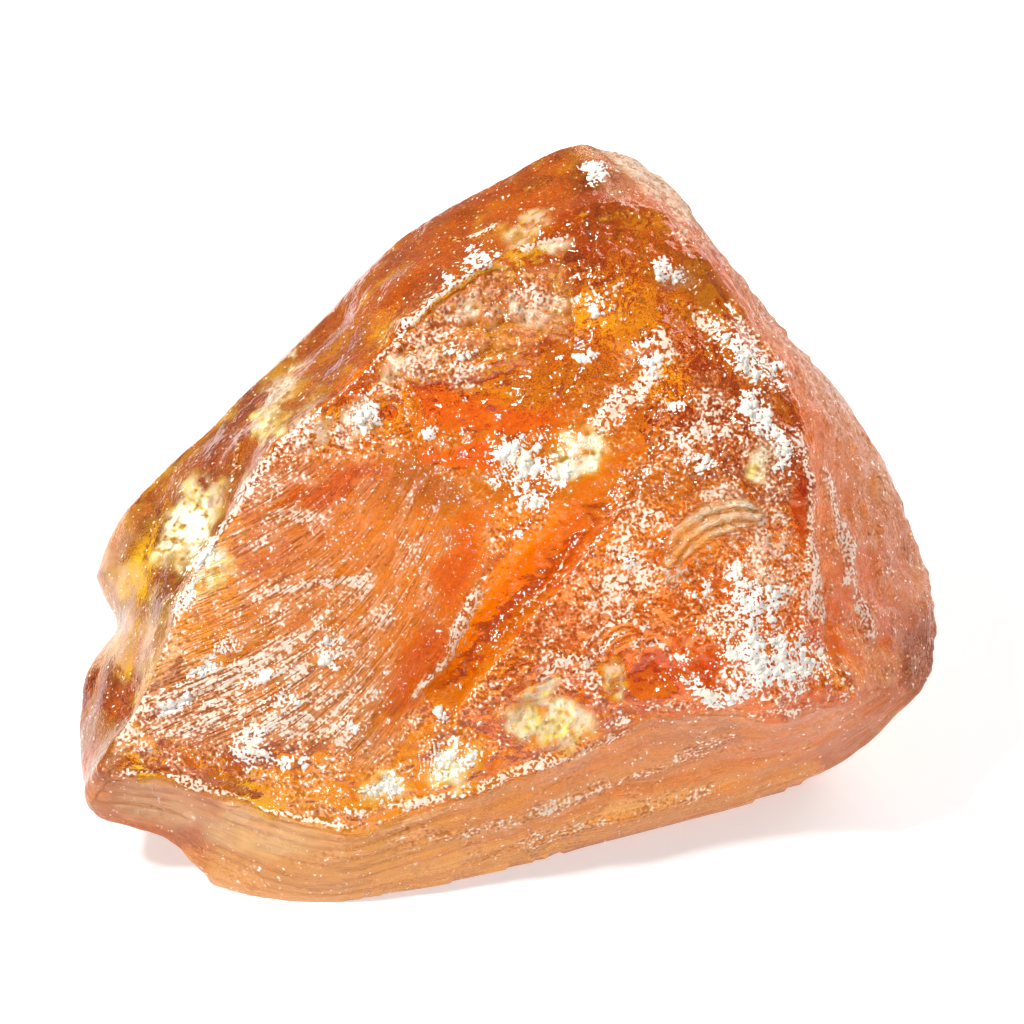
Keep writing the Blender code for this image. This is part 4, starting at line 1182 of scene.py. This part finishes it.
clump = softStep(0.35, 1.0, crust) * (0.1 + softStep(-0.1, 0.4, softNoise(points * 1.6, 71)))
cellArea = np.bincount(tris.ravel(), np.repeat(np.linalg.norm(np.cross(
    points[tris[:, 1]] - points[tris[:, 0]], points[tris[:, 2]] - points[tris[:, 0]]), axis=1),
    3), everyPoint)
largeCrumbs = scatterCrumbs("amber_crust_crumbs", crumbs["large"], crumbs["largeSize"], 1,
                            clump * cellArea, 5)
loose = ((crumbs["looseShare"] * (1 - 0.7 * goldenCrown) + crumbs["crustShare"] * crust)
         * isFront * softStep(-0.1, 0.7, layeredNoise(points * 0.8, 2, 81)))
tinyCrumbs = scatterCrumbs("amber_dust_grains", crumbs["tiny"], crumbs["tinySize"], 0,
                           loose * cellArea + 1e-12, 6)
for piece in (largeCrumbs, tinyCrumbs):
    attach(piece, "root")
print("crumbs made")

# The camera looks square at the front face.
view = {"away": 300.0, "lens": 181.4, "sensor": 36.0}
eye = faceToLayout(np.array([0.0, 0.0, -view["away"]])) - np.array(lump["middle"])
cameraData = bpy.data.cameras.new("camera")
cameraData.lens = view["lens"]
cameraData.sensor_width = view["sensor"]
cameraData.clip_start = 0.01
cameraData.clip_end = 10
camera = bpy.data.objects.new("camera", cameraData)
camera.location = eye * mm
camera.rotation_euler = (math.radians(90 - lump["lean"]), 0, 0)
bpy.context.scene.collection.objects.link(camera)
bpy.context.scene.camera = camera

# A small round table, a raking key light and a wide one behind.
studio = {
    "floor": (0.68, 0.69, 0.72, 1), "floorGlow": 0.52, "tableRadius": 0.28,
    "world": (1.0, 1.0, 1.0, 1), "worldStrength": 0.25,
    # name: (place in metres, size, power, colour)
    "lights": {
        "key": ((-0.34, -0.17, 0.50), 0.075, 4.3, (1.0, 0.98, 0.95)),
        "back": ((0.42, 0.50, 0.38), 0.70, 5.8, (1.0, 0.98, 0.95)),
    },
    "aim": (0, 0, 0.015),
}
world = bpy.data.worlds.new("studio")
world.use_nodes = True
world.node_tree.nodes["Background"].inputs["Color"].default_value = studio["world"]
world.node_tree.nodes["Background"].inputs["Strength"].default_value = studio["worldStrength"]
bpy.context.scene.world = world

floorMesh = bpy.data.meshes.new("floor")
tableTurn = np.arange(96) * math.pi / 48
tableEdge = studio["tableRadius"] * np.stack([np.cos(tableTurn), np.sin(tableTurn),
                                              np.zeros(96)], axis=1)
floorMesh.from_pydata(tableEdge.tolist(), [], [range(96)])
floorStuff, _, floorShader = startMaterial("floor")
floorShader.inputs["Base Color"].default_value = studio["floor"]
floorShader.inputs["Roughness"].default_value = 0.9
floorShader.inputs["Specular IOR Level"].default_value = 0.1
floorShader.inputs["Emission Color"].default_value = (1.0, 1.0, 1.0, 1)
floorShader.inputs["Emission Strength"].default_value = studio["floorGlow"]
floorMesh.materials.append(floorStuff)
floor = bpy.data.objects.new("floor", floorMesh)
bpy.context.scene.collection.objects.link(floor)

aim = np.array(studio["aim"])
for name, (at, size, power, colour) in studio["lights"].items():
    data = bpy.data.lights.new(name, "AREA")
    data.size = size
    data.energy = power
    data.color = colour
    light = bpy.data.objects.new(name, data)
    light.location = at
    heading = unit(aim - np.array(at))
    light.rotation_euler = (math.acos(-heading[2]), 0,
                            math.atan2(heading[1], heading[0]) - math.pi / 2)
    bpy.context.scene.collection.objects.link(light)

# with only two lights, choosing between them point by point costs more than it saves
bpy.context.scene.cycles.use_light_tree = False
bpy.context.scene.view_settings.view_transform = "Standard"
bpy.context.scene.view_settings.look = "None"
print("studio set")

bpy.context.view_layer.update()
